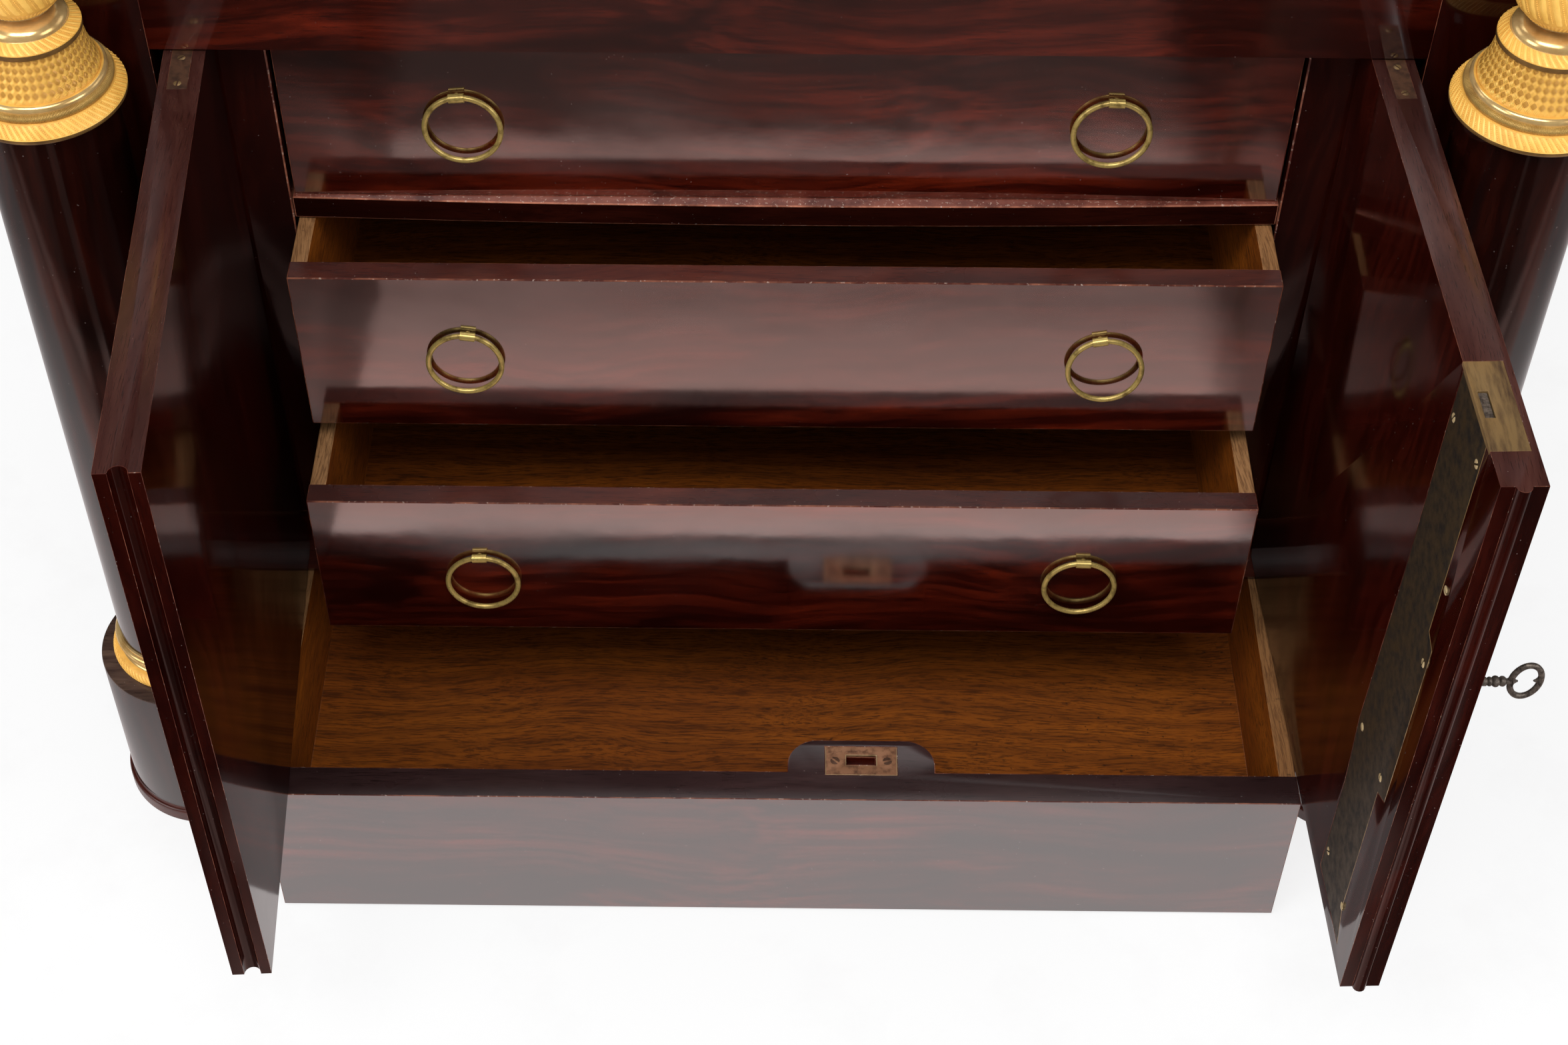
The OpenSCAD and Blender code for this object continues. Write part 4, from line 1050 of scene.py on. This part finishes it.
def turned_key():
    """Key: turned shank with two bulbs, bit, and an oval bow with a cusp at each end."""
    shank = lathe("shank", [(0, -19), (2.6, -19), (3, -18.5), (3, 6.6)]
                  + arc(2.0, 8, 1.6, -60, 60, 6) + [(2.8, 10), (2.8, 16)]
                  + arc(1.4, 18.2, 1.6, -65, 65, 6) + arc(1.2, 21.8, 2.4, -65, 65, 8)
                  + arc(1.0, 26, 2.3, -65, 65, 8) + [(1.8, 28.6), (2.2, 30.6), (0, 30.6)],
                  iron, 32)
    verts = []
    faces = []
    rings, sides = 56, 10
    for i in range(rings):
        turn = TURN * i / rings
        for k in range(sides):
            a = TURN * k / sides
            wide = 2.0 * math.cos(a)
            verts.append((1.9 * math.sin(a), (14.2 + wide) * math.cos(turn),
                          40.0 + (9.0 + wide) * math.sin(turn)))
            n, m = (i + 1) % rings, (k + 1) % sides
            faces.append((i * sides + k, i * sides + m, n * sides + m, n * sides + k))
    bow = shape("bow", verts, faces, iron)
    parts = [shank, bow]
    for foot, flip in ((31.6, 0), (48.4, math.pi)):
        cusp = lathe("cusp", [(0, 0), (3.6, 0), (1.9, 1.2), (1.0, 2.6), (0.6, 3.6), (0, 4.0)],
                     iron, 16)
        parts.append(move(cusp, Matrix.Translation((0, 0, foot * MM))
                          @ Matrix.Rotation(flip, 4, "X")))
    parts.append(block("bit", (-1.2, 1.2), (-6, 0), (-19, -12), iron))
    key = join("iron_door_key", parts)
    keyhole = Matrix.Translation((KEYHOLE_X * MM, 0, middle("door_key", 2) * MM))
    move(key, RIGHT_SWING @ keyhole @ Matrix.Rotation(math.pi / 2, 4, "X"))
    return rides(key, "key", "iron", "door_key")


turned_key()

# Drawers


# Height of the bottom board's top above the foot of a drawer's box
INNER_FLOOR_UP = 13
PLINTH_FLOOR_UP = 32


def box_face(node, floor_up):
    """Figured oak on the bottom board, plain oak on the walls, rubbed oak on their rim."""
    foot, rim = ends(node, 2)

    def choose(face):
        z = face.calc_center_median().z / MM
        if face.normal.z > 0.8 and z > rim - 8:
            return 2
        if face.normal.z > 0.8 and abs(z - foot - floor_up) < 12:
            return 0
        return 1
    return choose


for n in (1, 2, 3):
    body = "drawer_%d" % n
    eased("mahogany_%s_front" % body, body + "_front", body, "mahogany",
          [fronts, edge_wood, inner_wood], 0.8, front_edge_back, arris)
    eased("oak_%s_box" % body, body + "_box", body, "oak", [oak_floor, oak_wall, oak_rim], 0.7,
          box_face(body + "_box", INNER_FLOOR_UP))
    eased("brass_%s_eyes" % body, body + "_eyes", body, "brass", [ring_brass], 0.2)
    for label in ("left", "right"):
        ring = "ring_%d_%s" % (n, label)
        eased("brass_" + ring, ring, ring, "brass", [ring_brass], 0)

eased("mahogany_plinth_drawer_front", "plinth_drawer_front", "plinth_drawer", "mahogany",
      [plinth_wood, plinth_edge, inner_wood], 0.9, front_edge_back, arris)
eased("oak_plinth_drawer_box", "plinth_drawer_box", "plinth_drawer", "oak",
      [oak_floor, oak_wall, oak_rim], 0.7, box_face("plinth_drawer_box", PLINTH_FLOOR_UP))
eased("brass_plinth_lock_plate", "plinth_lock_plate", "plinth_drawer", "brass", [plate_copper],
      0.3, None, screw_brass)
PLATE_X, PLATE_TOP = middle("plinth_lock_plate", 0), ends("plinth_lock_plate", 2)[1]
# The plate's screws are this far behind the drawer's face
PLATE_SCREWS_Y = ends("plinth_drawer_front", 1)[0] + 35.2
screws("plinth_lock_plate_screws", "plinth_drawer",
       [((PLATE_X + x) * MM, PLATE_SCREWS_Y * MM, PLATE_TOP * MM) for x in (-19, 19)],
       (0, 0, 0), 3.4, 0.15, seed=12, finish=leaf_brass)
eased("mahogany_flap", "flap_panel", "flap", "mahogany", [flap_wood], 0.8, None, arris)
eased("leather_writing_field", "flap_leather", "flap", "hide", [leather], 0.4)
eased("brass_flap_stays", "flap_stays", "flap", "brass", [ring_brass], 0.4)

FRIEZE_BOX_Y = ends("frieze_drawer", 1)[0] + 24.5


def frieze_face(face):
    """Polish on the frieze drawer's front board, oak on the box behind it."""
    return 1 if face.calc_center_median().y / MM > FRIEZE_BOX_Y else 0


eased("mahogany_frieze_drawer", "frieze_drawer", "frieze_drawer", "mahogany",
      [rails, oak_wall], 0.8, frieze_face, arris)

# Floor, light, view

FLOOR_HALF = 9000
floor = shape("studio_floor", [(-FLOOR_HALF, -FLOOR_HALF, 0), (FLOOR_HALF, -FLOOR_HALF, 0),
                               (FLOOR_HALF, FLOOR_HALF, 0), (-FLOOR_HALF, FLOOR_HALF, 0)],
              [(0, 1, 2, 3)], floor_with_painted_reflection("white_floor_with_painted_reflection"))

# The pale room lights the object, and a polish mirrors hardly any of it
ROOM_LIGHT, ROOM_IN_POLISH = 0.55, 0.005
world = bpy.data.worlds.new("studio")
scene.world = world
world.use_nodes = True
sky = world.node_tree
sky.nodes.clear()
rays = add(sky, "ShaderNodeLightPath")
seen = add(sky, "ShaderNodeMath", {
    0: rays.outputs["Is Camera Ray"], 1: rays.outputs["Is Transmission Ray"]},
    operation="MAXIMUM")
lit = add(sky, "ShaderNodeMapRange", {
    "Value": rays.outputs["Is Glossy Ray"], "To Min": ROOM_LIGHT, "To Max": ROOM_IN_POLISH})
strength = add(sky, "ShaderNodeMath", {0: seen, 1: lit}, operation="MAXIMUM")
add(sky, "ShaderNodeOutputWorld", {"Surface": add(sky, "ShaderNodeBackground", {
    "Color": linear("#fbfbfc"), "Strength": strength})})


def softbox(name, place, aim, size, watts):
    light = bpy.data.lights.new(name, "AREA")
    light.shape = "RECTANGLE"
    light.size, light.size_y = size
    light.energy = watts
    lamp = bpy.data.objects.new(name, light)
    scene.collection.objects.link(lamp)
    lamp.location = place
    lamp.rotation_euler = (Vector(aim) - Vector(place)).to_track_quat("-Z", "Y").to_euler()
    return lamp


softbox("softbox_over_front", (-0.4, -1.75, 3.55), (0, -0.1, 0.3), (2.8, 1.2), 90)
softbox("softbox_left", (-3.0, -1.6, 1.8), (0, -0.1, 0.4), (1.8, 1.8), 42)
softbox("softbox_right", (3.0, -1.6, 1.8), (0, -0.1, 0.4), (1.8, 1.8), 40)

# The camera fitted to the photograph: its focal length, width, height and middle in pixels, its
# turns in degrees and its place in millimetres
FOCAL, WIDE, HIGH = 3792.0, 2352.0, 1568.0
MIDDLE = (1132.4, 880.8)
PITCH, YAW, ROLL = (math.radians(a) for a in (48.66, -0.59, -0.08))
EYE = (-6.3, -1295.3, 1603.1)
SENSOR = 36.0
ahead = Vector((math.sin(YAW) * math.cos(PITCH), math.cos(YAW) * math.cos(PITCH), -math.sin(PITCH)))
level = Vector((math.cos(YAW), -math.sin(YAW), 0))
down = ahead.cross(level)
right = math.cos(ROLL) * level + math.sin(ROLL) * down
up = math.sin(ROLL) * level - math.cos(ROLL) * down
camera_data = bpy.data.cameras.new("camera")
camera_data.sensor_width = SENSOR
camera_data.lens = FOCAL * SENSOR / WIDE
camera_data.shift_x = (WIDE / 2 - MIDDLE[0]) / WIDE
camera_data.shift_y = (MIDDLE[1] - HIGH / 2) / WIDE
camera_data.clip_end = 60
camera = bpy.data.objects.new("camera", camera_data)
scene.collection.objects.link(camera)
camera.matrix_world = Matrix((
    (right.x, up.x, -ahead.x, EYE[0] * MM), (right.y, up.y, -ahead.y, EYE[1] * MM),
    (right.z, up.z, -ahead.z, EYE[2] * MM), (0, 0, 0, 1)))
scene.camera = camera
scene.view_settings.view_transform = "Standard"
